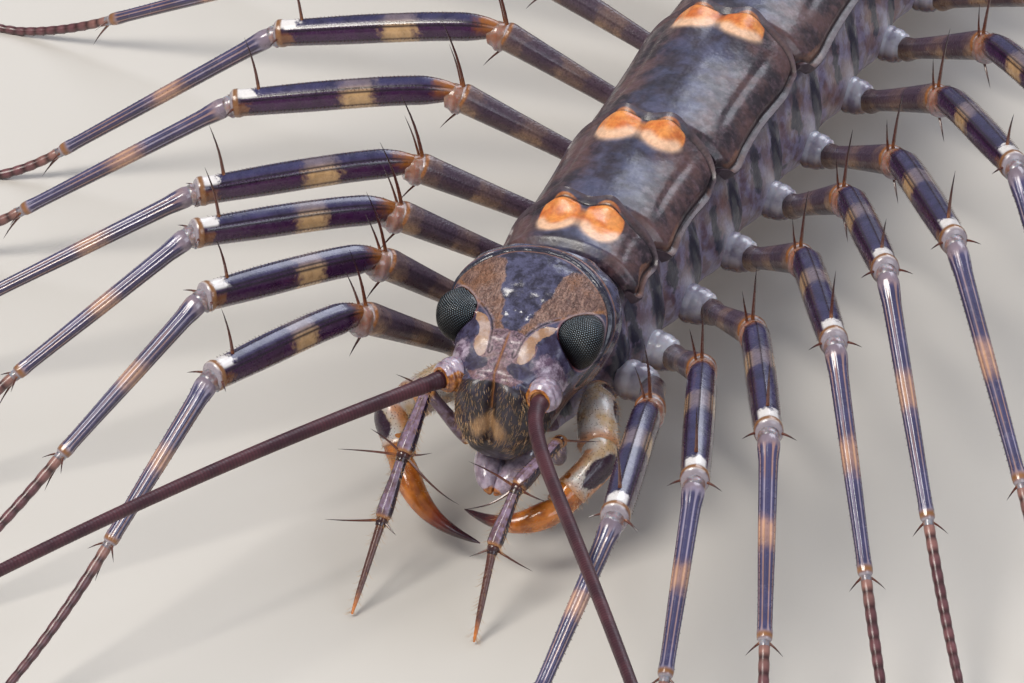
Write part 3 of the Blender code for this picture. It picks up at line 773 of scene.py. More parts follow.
def eye_finish():
    """Black, with a painted highlight dot in each lens of the eye's upper part, where the lenses face the
    light.
    """
    paint = Finish("eye_black", Coat_Weight=0.35, Coat_Roughness=0.05, Specular_IOR_Level=0.25,
                   Roughness=0.18)
    # Painted highlights: a pale dot at each lens's middle, bright where the lens faces the light and faint
    # below
    painted_glint_strength = paint.value("upper").step(-0.45, 0.60, 0.03, 1.0)
    dots = paint.clouds(0.4, (158, 192, 214), (206, 226, 240), 2.0, span=(0.3, 0.7))
    return paint.done((paint.value("lens").step(0.66, 1.0) * painted_glint_strength).mix((5, 6, 9), dots))


def socket_finish():
    """Glossy lilac folds above and clear amber skin below and inside."""
    paint = Finish("socket_skin", Coat_Weight=0.8, Coat_Roughness=0.08, Subsurface_Weight=0.15,
                   Subsurface_Scale=0.0004)
    cloud = paint.noise(0.22, 4.0)
    amber = paint.clouds(0.15, (184, 118, 54), (112, 58, 28))
    colour = cloud.step(0.35, 0.75).mix((176, 162, 178), (112, 92, 110)).layers(
        (paint.mask("amber", (cloud - 0.5) * 0.8, 0.35, 0.65), amber))
    paint.bump((paint.noise(0.18), 0.02), (paint.noise(0.05, 2.0), 0.005))
    return paint.done(colour, cloud.step(0.3, 0.7, 0.14, 0.30))


def plate_finish():
    """Brown-purple back plates, slate in the middle, with orange saddles."""
    paint = Finish("plate_shell", Coat_Weight=0.35, Coat_Roughness=0.2, Specular_IOR_Level=0.5)
    fray = paint.ragged(0.5, 0.8, 5.0, 0.65)
    slate = (abs(paint.value("across")) + fray * 0.4).step(0.12, 0.42, 0.85, 0.0)
    colour = paint.clouds(1.1, (36, 24, 34), (86, 60, 60), 4.0, span=(0.40, 0.60)).layers(
        (paint.noise(0.28, 5.0, 0.7).step(0.45, 0.70, 0.0, 0.55), (104, 82, 92)),
        (slate, paint.clouds(0.9, (40, 38, 54), (72, 76, 104), 4.0, span=(0.38, 0.62))),
        (paint.mask("corner", fray, 0.45, 0.65), (118, 82, 68)),
        (paint.mask("saddle", fray * 0.45, 0.30, 0.72), paint.clouds(0.5, (222, 142, 72), (196, 104, 46))),
        (paint.mask("pale", fray * 0.35, 0.10, 0.95, 0.85), (228, 190, 160)), ("rim", (70, 56, 66)),
        ("line", (30, 20, 30)))
    paint.bump((paint.noise(0.9), 0.06), (paint.noise(0.20), 0.010), (paint.cells(0.12), 0.005))
    return paint.done(colour.shade(paint.noise(0.16, 4.0), 0.82, 1.15),
                      paint.gloss(0.35, 0.34, 0.56) + paint.value("rim") * 0.30)


def flank_finish():
    """Lilac-grey flanks with dark, broken stripes and a painted shadow under the plates' edges."""
    paint = Finish("flank_skin", Subsurface_Weight=0.1, Subsurface_Scale=0.0006, Coat_Weight=0.4,
                   Coat_Roughness=0.15)
    blotch = (paint.noise(0.8, 4.0, 0.65) + paint.value("stripe") * 0.42).step(0.42, 0.53)
    colour = paint.clouds(0.45, (128, 120, 150), (102, 80, 94), 4.0, span=(0.38, 0.62)).layers(
        (paint.noise(1.6, 2.0).step(0.48, 0.66, 0.0, 0.6), (128, 92, 78)), (blotch, (34, 35, 58)),
        # The shade mark paints a slate shadow along the flank's top, under the plates' edges
        (paint.value("shade") * 0.7, (46, 48, 76)), ("knob", (204, 202, 216)), ("belly", (160, 134, 118)))
    paint.bump((paint.noise(0.5), 0.05), (paint.noise(0.1), 0.012))
    return paint.done(colour.shade(paint.noise(0.1), 0.85, 1.12), paint.gloss(0.3, 0.3, 0.5))


def floor_finish():
    """Pale, faintly clouded and matt."""
    paint = Finish("pale_floor", Roughness=0.7)
    return paint.done(paint.clouds(40.0, (206, 202, 196), (198, 194, 188), span=(0.3, 0.7)))


# Legs, on the same skeleton as the part's

COXA, PREFEMUR, FEMUR, TIBIA, TARSUS, MEMBRANE, SPINE = range(7)

# Angles from the top, in degrees, of the thigh's ridges and the shin's grooves
RIDGES = (0.0, 52.5, 112.5, 180.0)
TIBIA_GROOVES = (24.0, 60.0, 105.0, 150.0)

# Radius of each segment by its share of the length
PREFEMUR_PROFILE = ((0.0, 0.34), (0.05, 0.44), (0.10, 0.40), (0.16, 0.36), (0.55, 0.42), (0.90, 0.50),
                    (0.955, 0.515), (0.975, 0.50), (1.0, 0.40))
FEMUR_PROFILE = ((0.0, 0.24), (0.03, 0.31), (0.10, 0.43), (0.17, 0.49), (0.60, 0.50), (0.90, 0.46),
                 (0.95, 0.455), (0.965, 0.485), (0.985, 0.47), (1.0, 0.36))
TIBIA_PROFILE = ((0.0, 0.20), (0.02, 0.30), (0.05, 0.345), (0.09, 0.32), (0.14, 0.285), (0.55, 0.250),
                 (0.92, 0.215), (0.965, 0.235), (0.985, 0.225), (1.0, 0.15))

# Draws the lengths of the teeth
DICE = np.random.default_rng(15)


def ahead(heading, side):
    """The level direction at an angle from straight ahead."""
    return Vector((side * math.sin(heading), -math.cos(heading), 0.0))


def leg_place_y(k):
    """How far behind the eyes leg number k + 1 grows."""
    steps = [2.74 + 1.36 * math.sin(math.pi * (j + 0.5) / LAST) for j in range(k)]
    return FIRST_COXA_Y + sum(steps)


def leg_spread(k):
    """How far from the middle leg number k + 1 turns on its hip."""
    return COXA_SPREAD + 0.57 * math.sin(math.pi * k / LAST) - 0.70 * (k / LAST) ** 2


def leg_plan_angle(k, side):
    """The leg's direction in plan, from straight ahead towards its side."""
    if side < 0.0:
        return math.radians(19.9 + 12.7 * k - 0.21 * k * k)
    front = min(k, 6)
    rear = max(k - 6, 0)
    return math.radians(12.5 + 5.46 * front - 0.30 * front * front + 1.86 * rear + 1.73 * rear * rear)


def leg_heights(k, side):
    """Heights of the knee, the ankle joint and the start of the tarsus."""
    if side < 0.0:
        return (6.95 - 0.71 * smooth(k / 6.0), 7.85 - 2.56 * smooth((k - 0.5) / 5.5),
                4.24 - 2.90 * smooth((k - 0.5) / 5.0))
    front = smooth(k / 6.0)
    rear = smooth((k - 6.0) / 6.0)
    return 6.21 + 0.32 * front, 6.56 + 1.79 * front - 2.9 * rear, 3.41 + 0.49 * front - 2.3 * rear


def leg_lengths(k):
    """Lengths of the thigh's two parts and the shin."""
    return 5.03 + 0.12 * k, 6.48 + 0.29 * k, 5.83 + 0.63 * k


def leg_joints(k, side, step):
    """The coxa, knee, ankle and tarsus joints, and the tarsus's heading."""
    turn, shin_turn, back, *lifts = step
    plan = leg_plan_angle(k, side) + math.radians(turn)
    splay = math.radians(8.3 if side < 0.0 else 13.8)
    turn_in = 0.0 if side < 0.0 else math.radians(17.0 * math.exp(-1.1 * k))
    headings = (plan + splay * math.cos(plan), plan, plan - turn_in + math.radians(shin_turn))
    joints = [Vector((side * leg_spread(k), leg_place_y(k) + back, COXA_HEIGHT))]
    for length, height, lift, heading in zip(leg_lengths(k), leg_heights(k, side), lifts, headings):
        climb = float(height) + lift - joints[-1].z
        run = math.sqrt(length * length - climb * climb)
        joints.append(joints[-1] + ahead(heading, side) * run + UP * climb)
    if k == 0:
        joints[0] += Vector((side * FIRST_COXA_OUT, FIRST_COXA_BACK, 0.0))
    return joints, headings[2]


def tarsus_path(shin_start, start, heading, side, k):
    """The tarsus falls with the shin's slope, eases and lies on the floor.

    It has three points for each of its little joints.
    """
    shin = start - shin_start
    slope = max(-shin.z / shin.xy.length, 0.05)
    length = 11.0 + 0.55 * k + 14.0 * (k / LAST) ** 6
    reach = min(TARSUS_EASE * (start.z - FOOT_SINK * CAD_TIP_RADIUS) / slope, length * (1.0 - TARSUS_REST))
    fall = start.z - TARSUS_TIP_RADIUS
    done = np.linspace(0.0, length, int(length / TARSOMERE * 3.0))
    share = np.clip(done / reach, 0.0, 1.0)
    forward = np.array(ahead(heading, side))
    path = np.array(start) + forward * done[:, None]
    path[:, 2] = start.z - fall * (1.0 - (1.0 - share) ** TARSUS_EASE)
    return path


def stations(count):
    """Places from 0 to 1, closer together near both ends."""
    share = np.linspace(0.0, 1.0, count)
    return share - END_CROWDING * np.sin(2.0 * math.pi * share)


def straight(start, end, shares):
    start = np.array(start)
    return start + (np.array(end) - start) * np.asarray(shares)[:, None]


def shell_tube(shape, start, end, kind, profile, relief, rows, columns, wide=1.0, tall=1.0, arch=0.0,
               **values):
    """A limb's segment: a profile along it, and ridges round it that fade at the ends."""
    share = stations(rows)
    angle = turns(columns)
    radii = blend_along(share, profile)[:, None]
    fade = (smooth(share / 0.12) * smooth((1.0 - share) / 0.08))[:, None]
    lift, marks = relief(np.abs(np.degrees(angle))[None])
    path = straight(start, end, share)
    path[:, 2] += arch * np.sin(math.pi * np.sqrt(np.clip(share, 0.0, 1.0)))
    data = {name: mark * fade for name, mark in marks.items()}
    data["along"] = share
    data["rim"] = smooth((share - 0.958) / 0.010) * smooth((0.992 - share) / 0.010)
    data.update(values)
    radii = radii * (1.0 + lift * fade)
    return add_tube(shape, path, radii, kind=kind, angle=angle, wide=wide, tall=tall, **data)


def femur_relief(degrees):
    lift = sum(0.035 * bell(degrees, ridge, 5.0) for ridge in RIDGES)
    lift = lift - 0.012 * bell(degrees, 26.0, 15.0) - 0.012 * bell(degrees, 82.0, 18.0)
    line = 0.95 * bell(degrees, 45.0, 3.2) + 0.95 * bell(degrees, 60.0, 3.2) + 0.8 * bell(degrees, 112.5, 4.5)
    return lift, {"line": line + 0.7 * bell(degrees, 0.0, 4.0)}


def tibia_relief(degrees):
    groove = sum(bell(degrees, place, 6.5) for place in TIBIA_GROOVES)
    return 0.05 - 0.11 * groove, {"rib": 1.0 - np.clip(groove, 0.0, 1.0)}


def prefemur_relief(degrees):
    lift = 0.06 * bell(degrees, 0.0, 7.0) + 0.05 * bell(degrees, 60.0, 7.0) + 0.04 * bell(degrees, 120.0, 7.0)
    return lift, {"line": 0.6 * bell(degrees, 60.0, 4.0) + 0.5 * bell(degrees, 0.0, 4.0)}


def joint_skin(shape, before, joint, after, radius, bulge, folds=3, tint=0.0, kind=MEMBRANE):
    """The folded skin that fills a joint and bulges out below it."""
    back = (before - joint).normalized() * radius * 0.95
    front = (after - joint).normalized() * radius * 0.95
    share = np.linspace(0.0, 1.0, 17)[:, None]
    path = np.array(joint) + (1.0 - share) ** 2 * np.array(back) + share ** 2 * np.array(front)
    angle = turns(24)
    turn = np.abs(angle)[None] / math.pi
    body = 0.72 + 0.16 * np.sin(math.pi * share) + 0.03 * np.cos(2.0 * math.pi * folds * share)
    low = smooth((turn - 0.45) / 0.5)
    swell = 1.0 + bulge * low * np.sin(math.pi * share)
    amber = np.maximum(0.45 * bell(turn, 0.42, 0.13), tint * (1.0 - low))
    add_tube(shape, path, radius * body * swell, kind=kind, angle=angle, amber=amber)


def teeth(shape, ring, spacing, low, high, size):
    """Rows of tiny dark teeth along a segment's ridges."""
    columns = ring.shape[1]
    middle = ring.mean(axis=1)
    way = middle[-1] - middle[0]
    length = np.linalg.norm(way)
    way = way / length
    done = (middle - middle[0]) @ way / length
    shares = np.linspace(low, high, int(length * (high - low) / spacing))
    for ridge in RIDGES[:3]:
        for sign in ((1.0,) if ridge == 0.0 else (1.0, -1.0)):
            column = int(round((ridge * sign / 360.0 + 0.5) * columns)) % columns
            roots = read_along(shares, done, ring[:, column])
            out = unit(roots - read_along(shares, done, middle))
            lengths = size * (0.7 + 0.6 * DICE.random(len(shares)))[:, None]
            tips = roots + (out * 0.75 + way * 0.6) * lengths
            add_hairs(shape, roots - out * ROOT_DEPTH, tips, 0.013, SPINE)


def leg_spines(shape, joints, forward, size):
    """The long and short spines round the joints; their tips are the part's."""
    coxa, knee, ankle, wrist = joints
    across = forward.cross(UP)
    thigh = (ankle - knee).normalized()
    upper = (knee - coxa).normalized()
    knee_high = knee + (UP + 0.20 * forward).normalized() * 2.7 * size
    knee_short = knee + (UP * 1.60 + across * 0.40 + forward * 0.3) * size
    knee_low = knee + (0.5 * forward - UP).normalized() * 1.3 * size
    ankle_high = ankle + (UP + 0.10 * forward).normalized() * 2.3 * size
    wrist_low = wrist + (0.6 * forward - UP).normalized() * 1.2 * size
    knee_low.z = max(knee_low.z, SPINE_FLOOR)
    wrist_low.z = max(wrist_low.z, SPINE_FLOOR)
    ankle_high.z = min(ankle_high.z, SPINE_CEILING)
    spines = [
        (knee - upper * 0.22 + UP * 0.36, knee_high, 0.065, forward * -0.10),
        (knee - upper * 0.12 + UP * 0.34 + across * 0.20, knee_short, 0.048, forward * -0.04),
        (knee - upper * 0.20 - UP * 0.38, knee_low, 0.055, forward * 0.05),
        (ankle - thigh * 0.95 + UP * 0.42, ankle_high - thigh * 0.75, 0.062, forward * -0.07),
        (wrist - UP * 0.14, wrist_low, 0.048, forward * 0.04),
    ]
    for out in (across, -across):
        ankle_side = ankle + out * 0.82 - UP * 0.10 + thigh * 0.18
        wrist_side = wrist + out * 0.55 + forward * 0.35 - UP * 0.25
        spines.append((ankle - thigh * 0.12 + out * 0.34, ankle_side, 0.050, UP * 0.03))
        spines.append((wrist + out * 0.12, wrist_side, 0.042, UP * 0.03))
    for root, tip, radius, bow in spines:
        add_spine(shape, root, tip, radius, SPINE, bow)


def leg_tarsus(shape, path):
    """The whip-like foot: many short rings, fine pegs below and a small claw."""
    count = len(path)
    share = np.linspace(0.0, 1.0, count)
    thick, thin = TARSUS_RADII
    radii = thick + (thin - thick) * smooth((share - 0.05) / 0.75)
    radii[0] *= 0.8
    ring = np.where(np.arange(count) % 3 == 0, 1.0, 0.0)
    radii = radii * (1.0 - 0.10 * ring)
    path[:, 2] = np.maximum(path[:, 2], radii + FLOOR_GAP)
    add_tube(shape, path, radii, 10, TARSUS, ring=ring)
    steps = np.arange(3, count - 2, 3)
    down = np.array((0.0, 0.0, -1.0))
    way = unit(path[steps + 1] - path[steps])
    side = np.cross(way, down)
    for sign in (-1.0, 1.0):
        roots = path[steps] + (down * 0.75 + side * sign * 0.5) * radii[steps, None]
        tips = roots + way * 0.17 + side * sign * 0.05 + down * 0.05
        tips[:, 2] = np.maximum(tips[:, 2], HAIR_FLOOR)
        add_hairs(shape, roots, tips, 0.012, SPINE)
    root = path[-1]
    tip = root + unit(root - path[-2]) * 0.24
    tip[2] = FLOOR_GAP
    add_spine(shape, root, tip, 0.06, SPINE, (0.0, 0.0, 0.03), 4)


def leg_hip(shape, side, coxa):
    """A milky knob that swells from the flank, with soft folds."""
    flank = trunk_side(coxa.y, coxa.z - 0.5, coxa.z + 0.5)
    root = Vector((side * (flank - 0.12), coxa.y + 0.12, coxa.z + 0.10))
    share = np.linspace(0.0, 1.0, 22)
    path = straight(root, coxa + Vector((side * 0.12, 0.0, 0.04)), share)
    radii = blend_along(share, ((0.0, 0.50), (0.25, 0.66), (0.60, 0.62), (0.85, 0.54), (1.0, 0.30)))
    radii = radii * (1.0 - 0.05 * bell(share, 0.42, 0.05) - 0.06 * bell(share, 0.78, 0.05))
    angle = turns(28)
    add_tube(shape, path, radii, kind=COXA, angle=angle, top=0.5 + 0.5 * np.cos(angle)[None])


def leg(k, word, finishes):
    """One leg, dressed: hip, three ridged segments, joints, spines and foot."""
    side = SIDES[word]
    joints, heading = leg_joints(k, side, STEPS.get((word, k + 1), NO_STEP))
    coxa, knee, ankle, wrist = joints
    shape = Shape()
    leg_hip(shape, side, coxa)
    shell_tube(shape, coxa, knee, PREFEMUR, PREFEMUR_PROFILE, prefemur_relief, 44, 40, wide=0.96)
    joint_skin(shape, coxa, knee, ankle, radius=0.51, bulge=0.36, tint=0.6)
    thigh = shell_tube(shape, knee, ankle, FEMUR, FEMUR_PROFILE, femur_relief, 64, 48, wide=0.94, tall=1.04,
                       arch=THIGH_ARCH)
    joint_skin(shape, knee, ankle, wrist, radius=0.38, bulge=0.42)
    shin = shell_tube(shape, ankle, wrist, TIBIA, TIBIA_PROFILE, tibia_relief, 60, 48)
    path = tarsus_path(ankle, wrist, heading, side, k)
    joint_skin(shape, ankle, wrist, Vector(path[1]), radius=0.20, bulge=0.15, folds=1)
    leg_tarsus(shape, path)
    teeth(shape, thigh, spacing=0.13, low=0.08, high=0.90, size=0.07)
    teeth(shape, shin, spacing=0.22, low=0.10, high=0.94, size=0.05)
    leg_spines(shape, joints, ahead(heading, side), 1.0 + 0.02 * k)
    name = "leg_%s_%02d" % (word, k + 1)
    shape.piece(name + "_dressed", finishes, "leg", name)


# Trunk and back plates

def trunk_half_width(y):
    return blend_along(y, ((1.2, 0.90), (3.1, 1.00), (3.45, 2.0), (8.0, 2.15), (22.0, 2.45),
                           (40.0, 2.15), (56.0, 1.15)))


def trunk_top(y):
    return blend_along(y, ((1.2, 3.90), (2.4, 4.40), (3.1, 5.15), (4.1, 7.4), (6.0, 7.55),
                           (22.0, 8.15), (40.0, 7.6), (56.0, 5.6)))


def trunk_bottom(y):
    return blend_along(y, ((1.2, 2.95), (6.0, 2.75), (22.0, 2.55), (40.0, 2.65), (56.0, 3.2)))


def trunk_points(y, angle, offset=0.0, lift=0.0):
    """Points of the trunk's skin; angle 0 is the top, and it grows to +X."""
    half_height = (trunk_top(y) - trunk_bottom(y)) / 2.0
    middle = (trunk_top(y) + trunk_bottom(y)) / 2.0
    across = squared(np.sin(angle), SQUARENESS)
    upward = squared(np.cos(angle), SQUARENESS)
    flare = 1.0 + FLANK_FLARE * smooth((0.35 - upward) / 0.9)
    x = (trunk_half_width(y) * flare + offset) * across
    return stacked(x, y, middle + (half_height + offset) * upward + lift)


def trunk_side(y, low, high):
    """How far the flank stands out between two heights."""
    flank = trunk_points(np.array(y), np.radians(np.arange(60, 180, 3)))
    near = (flank[:, 2] >= low) & (flank[:, 2] <= high)
    return float(flank[near, 0].max())


def trunk_skin(finish):
    """One soft skin for the whole trunk, swollen and pleated at each leg."""
    end = TRUNK_END + 0.3
    angle = turns(112)[None]
    y = np.linspace(TRUNK_START, end, 520)[:, None]
    bulge = np.zeros(np.broadcast_shapes(y.shape, angle.shape))
    knob = np.zeros_like(bulge)
    stripe = np.zeros_like(bulge)
    flank = np.abs(np.degrees(angle))
    for k in range(PAIRS):
        place = leg_place_y(k)
        bulge += 0.26 * bell(y, place, 0.95) * bell(flank, 118.0, 26.0)
        bulge -= 0.17 * bell(y, place + 1.75, 0.22) * bell(flank, 100.0, 55.0)
        bulge -= 0.07 * bell(y, place + 0.62, 0.16) * bell(flank, 84.0, 22.0)
        bulge += 0.10 * bell(y, place + 0.95, 0.35) * bell(flank, 86.0, 10.0)
        knob += bell(y, place - 0.1, 0.42) * bell(flank, 108.0, 14.0)
        stripe += bell(y, place + 0.9, 0.40) * bell(flank, 92.0, 26.0)
        stripe += 0.8 * bell(y, place - 0.9, 0.30) * bell(flank, 84.0, 16.0)
    points = trunk_points(y, angle, bulge - 0.02 * bell(flank, 90.0, 90.0))
    points = points + 0.02 * rough(points, 0.5)[..., None]
    points[..., 2] += 0.03 * np.sin(y * 9.0) * bell(flank, 180.0, 40.0)
    fade = smooth((y - TRUNK_START) / 0.3) * smooth((end - y) / 0.3)
    belly = smooth((flank - 128.0) / 25.0)
    # Painted shadow along the top of the flank, where the plates overhang it
    shade = smooth((84.0 - flank) / 22.0)
    shape = Shape()
    add_grid(shape, points, knob=knob * fade, stripe=stripe - 0.4, belly=belly, shade=shade)
    nodes = ["trunk_%d" % number for number in range(1, 5)]
    shape.piece("trunk_skin", (finish,), "skin", *nodes)


def plate_points(start, end, u, v, offset):
    """Points over a back plate; u runs across it and v towards the tail."""
    corner = PLATE_CORNER * u ** 4 * min(1.0, (end - start) / 4.0)
    y = start + (end - corner - start) * v
    hump = bell(np.abs(u), SADDLE_SIDE, SADDLE_WIDTH) * smooth((v - 0.55) / 0.35)
    lift = PLATE_LIFT * v ** 3 + SADDLE_HEIGHT * hump
    reach = 1.0 - 0.12 * smooth(1.0 - v / 0.06) + 0.04 * bell(v, 0.13, 0.09) - 0.05 * bell(v, 0.50, 0.25)
    reach = reach - 0.05 * smooth((v - 0.80) / 0.18)
    return trunk_points(y, u * PLATE_REACH * reach, PLATE_GAP + offset, lift)


def back_plate(number, finish):
    """One arched plate: raised edges, a domed back and a paired orange saddle."""
    start = PLATE_ENDS[number - 1]
    end = PLATE_ENDS[number] - PLATE_GAP
    length = end - start
    rows = int(np.clip(length / 0.085, 50, 130))
    columns = 110
    u = np.linspace(-1.0, 1.0, columns)[None]
    v = np.linspace(0.0, 1.0, rows)[:, None]
    side = np.abs(u)
    to_side = (1.0 - side) * PLATE_REACH * 2.3
    to_rear = (1.0 - v) * length
    to_front = v * length
    edge = np.minimum(to_side, to_rear)
    outer = 0.34 + 0.14 * np.cos(u * 1.3) - 0.16 * bell(edge, 0.26, 0.10) + 0.03 * bell(edge, 0.09, 0.06)
    outer = outer - 0.22 * smooth(1.0 - edge / 0.07) - 0.18 * smooth(1.0 - to_front / 0.25)
    outer = outer + 0.05 * bell(side, 0.0, 0.10) * smooth(v / 0.3)
    outer = outer - 0.04 * bell(side, 0.52, 0.05) * smooth((v - 0.1) / 0.2) * smooth((0.9 - v) / 0.2)
    top = plate_points(start, end, u, v, outer)
    top = top + (0.022 * rough(top, 0.7))[..., None] * np.array((0.2, 0.2, 1.0))
    bottom = plate_points(start, end, u, v, 0.02 * smooth(edge / 0.1))
    spot = v * length - (length - 1.05)
    reach = np.hypot((side - SADDLE_SIDE) / 0.185, (spot - 0.25) / 0.70)
    saddle = smooth((1.26 - reach) / 0.45) * smooth((edge - 0.12) / 0.10)
    pale = bell(reach, 0.85, 0.32) * smooth((0.40 - spot) / 0.5)
    corner = bell(side, 0.90, 0.13) * np.maximum(bell(to_front, 0.9, 0.9), 0.6 * bell(to_rear, 0.7, 0.5))
    rim = smooth((0.19 - edge) / 0.08)
    line = bell(edge, 0.25, 0.05) + 0.5 * bell(side, 0.0, 0.012) * smooth(v / 0.2)
    marks = {"across": u, "saddle": saddle, "pale": pale, "corner": corner, "rim": rim * 0.9, "line": line}
    marks = {name: over_grid(mark, rows, columns) for name, mark in marks.items()}
    shape = Shape()
    faces = grid_faces(rows, columns, False)
    shape.add(top, faces[:, ::-1], **marks)
    shape.add(bottom, faces, **marks)
    size = rows * columns
    loop = np.concatenate((np.arange(columns), np.arange(1, rows) * columns + columns - 1,
                           (rows - 1) * columns + np.arange(columns - 2, -1, -1),
                           np.arange(rows - 2, 0, -1) * columns))
    after = np.roll(loop, -1)
    rim_faces = np.stack((loop, after, after + size, loop + size), axis=-1) - shape.count
    shape.add(np.zeros((0, 3)), rim_faces)
    shape.piece("tergite_%d_dressed" % number, (finish,), "shell", "tergite_%d" % number)


def tail(finish):
    """The blunt end of the body, ridged, with two short spines on each side."""
    share = np.linspace(0.0, 1.0, 60)[:, None]
    angle = turns(64)[None]
    size = np.sqrt(np.clip(1.0 - (share * 0.985) ** 2.2, 0.0, 1.0))
    wave = 1.0 + 0.05 * np.cos(4.0 * angle) * share + 0.03 * np.sin(16.0 * share)
    x = size * wave * np.sin(angle)
    z = 4.4 + 1.1 * size * wave * np.cos(angle)
    y = TRUNK_END + TAIL_LENGTH * share
    points = stacked(x, y, z)
    points = points + 0.02 * rough(points, 0.4)[..., None]
    shape = Shape()
    add_grid(shape, points, rim=bell(share, 0.04, 0.05), across=angle / math.pi)
    for side in SIDES.values():
        for place in (0.35, 0.6):
            root = np.array((side * 0.6, TRUNK_END + TAIL_LENGTH * place, 4.3))
            tip = root + np.array((side * 0.35, 0.45, -0.2)) * 0.8
            add_spine(shape, root, tip, 0.07, 0, across=0.5)
    shape.piece("telson_dressed", (finish,), "shell", "telson")


# Head

def head_half_width(along):
    return blend_along(along, ((-3.3, 0.80), (-2.7, 1.28), (-1.9, 1.48), (-0.9, 1.80), (0.2, 2.50),
                               (1.4, 2.72), (2.5, 2.35), (3.15, 1.5)))


def head_top(along):
    return blend_along(along, ((-3.3, 0.25), (-2.6, 1.05), (-1.6, 1.72), (-0.6, 1.68), (0.6, 1.50),
                               (1.8, 1.35), (2.6, 1.10), (3.15, 0.75)))


def head_bottom(along):
    return blend_along(along, ((-3.3, 1.05), (-2.6, 1.60), (-1.6, 2.00), (0.2, 1.95), (1.5, 1.60),
                               (2.6, 0.75), (3.15, 0.25)))


def head_place(local):
    """Places from the head's own sideways, lengthways and upward sizes."""
    x, along, above = np.moveaxis(np.asarray(local, dtype=float), -1, 0)
    y = along * math.cos(HEAD_TILT) - above * math.sin(HEAD_TILT)
    z = along * math.sin(HEAD_TILT) + above * math.cos(HEAD_TILT)
    return stacked(x, y, z) + np.array(HEAD_MIDDLE)


def mirrored(points, side):
    return np.asarray(points, dtype=float) * np.array((side, 1.0, 1.0))


# The eye's three rounded corners, and how far each of its sides bows out
EYE_CORNERS = ((1.21, 0.33, 1.40), (2.40, 1.33, 0.80), (2.02, -0.52, 0.09))
EYE_BOWS = (0.20, 0.32, 0.06)
EYE_HEIGHT = 0.92
FACET = 0.080

# A lens's top, the width, height and painted highlight brightness of its rings, and its share of its cell
LENS_TOP = 0.008
LENS_RINGS = ((0.55, 0.0062, 0.55), (0.84, 0.001, 0.0), (1.0, -0.006, 0.0))
LENS_FILL = 0.97

# Which way the lenses catch the light, which sets where their painted highlights are bright: outward,
# lengthways and up
EYE_SHINE = {"left": (0.10, 0.70, 0.66), "right": (-0.45, 0.62, 0.62)}

# Lines and patches of the head, sideways and lengthways from its middle
SEAM = ((1.30, 0.66), (0.86, 0.28), (0.60, -0.12), (0.50, -0.52), (0.47, -0.88), (0.40, -1.02),
        (0.34, -0.92), (0.36, -0.78))
CROSS_SEAM = ((0.47, -0.44), (0.20, -0.47), (0.03, -0.25))
MEDIAN = ((0.0, -0.24), (0.0, -1.10), (0.0, -2.55))
BROW = ((1.18, 0.58), (1.66, 0.90), (2.36, 1.42))
CREAM = ((1.36, 0.36), (1.02, 0.27), (0.74, 0.00), (0.57, -0.45), (0.53, -0.98), (0.66, -1.16),
         (0.84, -1.02), (0.96, -0.72), (0.92, -0.42), (1.06, -0.10), (1.26, 0.10))
DARK = ((1.50, 0.30), (1.24, 0.08), (1.02, -0.42), (0.98, -0.80), (0.74, -1.14), (0.38, -1.22),
        (0.34, -1.46), (0.72, -1.66), (1.20, -1.52), (1.50, -1.05), (1.85, -0.65), (1.66, -0.10))
FACE = ((-1.05, -0.55), (-0.50, -0.20), (0.0, -0.12), (0.50, -0.20), (1.05, -0.55), (1.10, -1.30),
        (0.70, -1.85), (0.0, -2.10), (-0.70, -1.85), (-1.10, -1.30))
CHEEK = ((0.10, -0.26), (0.36, 0.04), (0.46, 0.42), (0.62, 0.88), (0.84, 1.30), (0.90, 1.85), (1.08, 2.36),
         (1.55, 2.38), (2.10, 2.00), (2.50, 1.45), (1.80, 1.04), (1.32, 0.70), (0.84, 0.32), (0.58, -0.10),
         (0.44, -0.44))
RIM = ((0.0, 2.98, 0.84), (0.95, 2.84, 0.86), (1.83, 2.32, 0.84), (2.35, 1.82, 0.70), (2.60, 1.36, 0.54),
       (2.62, 0.75, 0.30), (2.42, -0.10, 0.02), (1.98, -0.62, -0.44))

# Lumps and dents: height, place sideways and lengthways, and width both ways
HEAD_LUMPS = (
    (0.055, 0.37, 0.48, 0.10, 0.10),
    (0.030, 0.10, 0.62, 0.06, 0.06),
    (-0.050, 0.55, 0.95, 0.16, 0.2667),
    (0.060, 0.80, -0.55, 0.3111, 0.28),
    (0.27, 0.64, -2.30, 0.425, 0.51),
    (0.22, 1.42, -1.02, 0.44, 0.44),
    (0.09, 0.30, -3.26, 0.16, 0.16),
)


def eye_frame():
    """The middle of the eye's outline, its three axes and its radius by angle."""
    corners = np.array(EYE_CORNERS)
    normal = -unit(np.cross(corners[1] - corners[0], corners[2] - corners[0]))
    outline = []
    share = np.linspace(0.0, 1.0, 24, endpoint=False)[:, None]
    for first, second, bow in zip(corners, np.roll(corners, -1, axis=0), EYE_BOWS):
        out = unit(np.cross(second - first, normal))
        out *= np.sign((first - corners.mean(axis=0)) @ out)
        outline.append(first + (second - first) * share + out * bow * 4.0 * share * (1.0 - share))
    outline = np.vstack(outline)
    for _ in range(5):
        outline = sum(np.roll(outline, shift, axis=0) for shift in range(-3, 4)) / 7.0
    middle = outline.mean(axis=0)
    across = unit(corners[1] - corners[0])
    above = np.cross(normal, across)
    flat = outline - middle
    angle = np.arctan2(flat @ above, flat @ across)
    order = np.argsort(angle)
    radius = np.linalg.norm(flat, axis=1)
    return middle, (across, above, normal), (angle[order], radius[order])


EYE_CENTRE, EYE_AXES, EYE_OUTLINE = eye_frame()


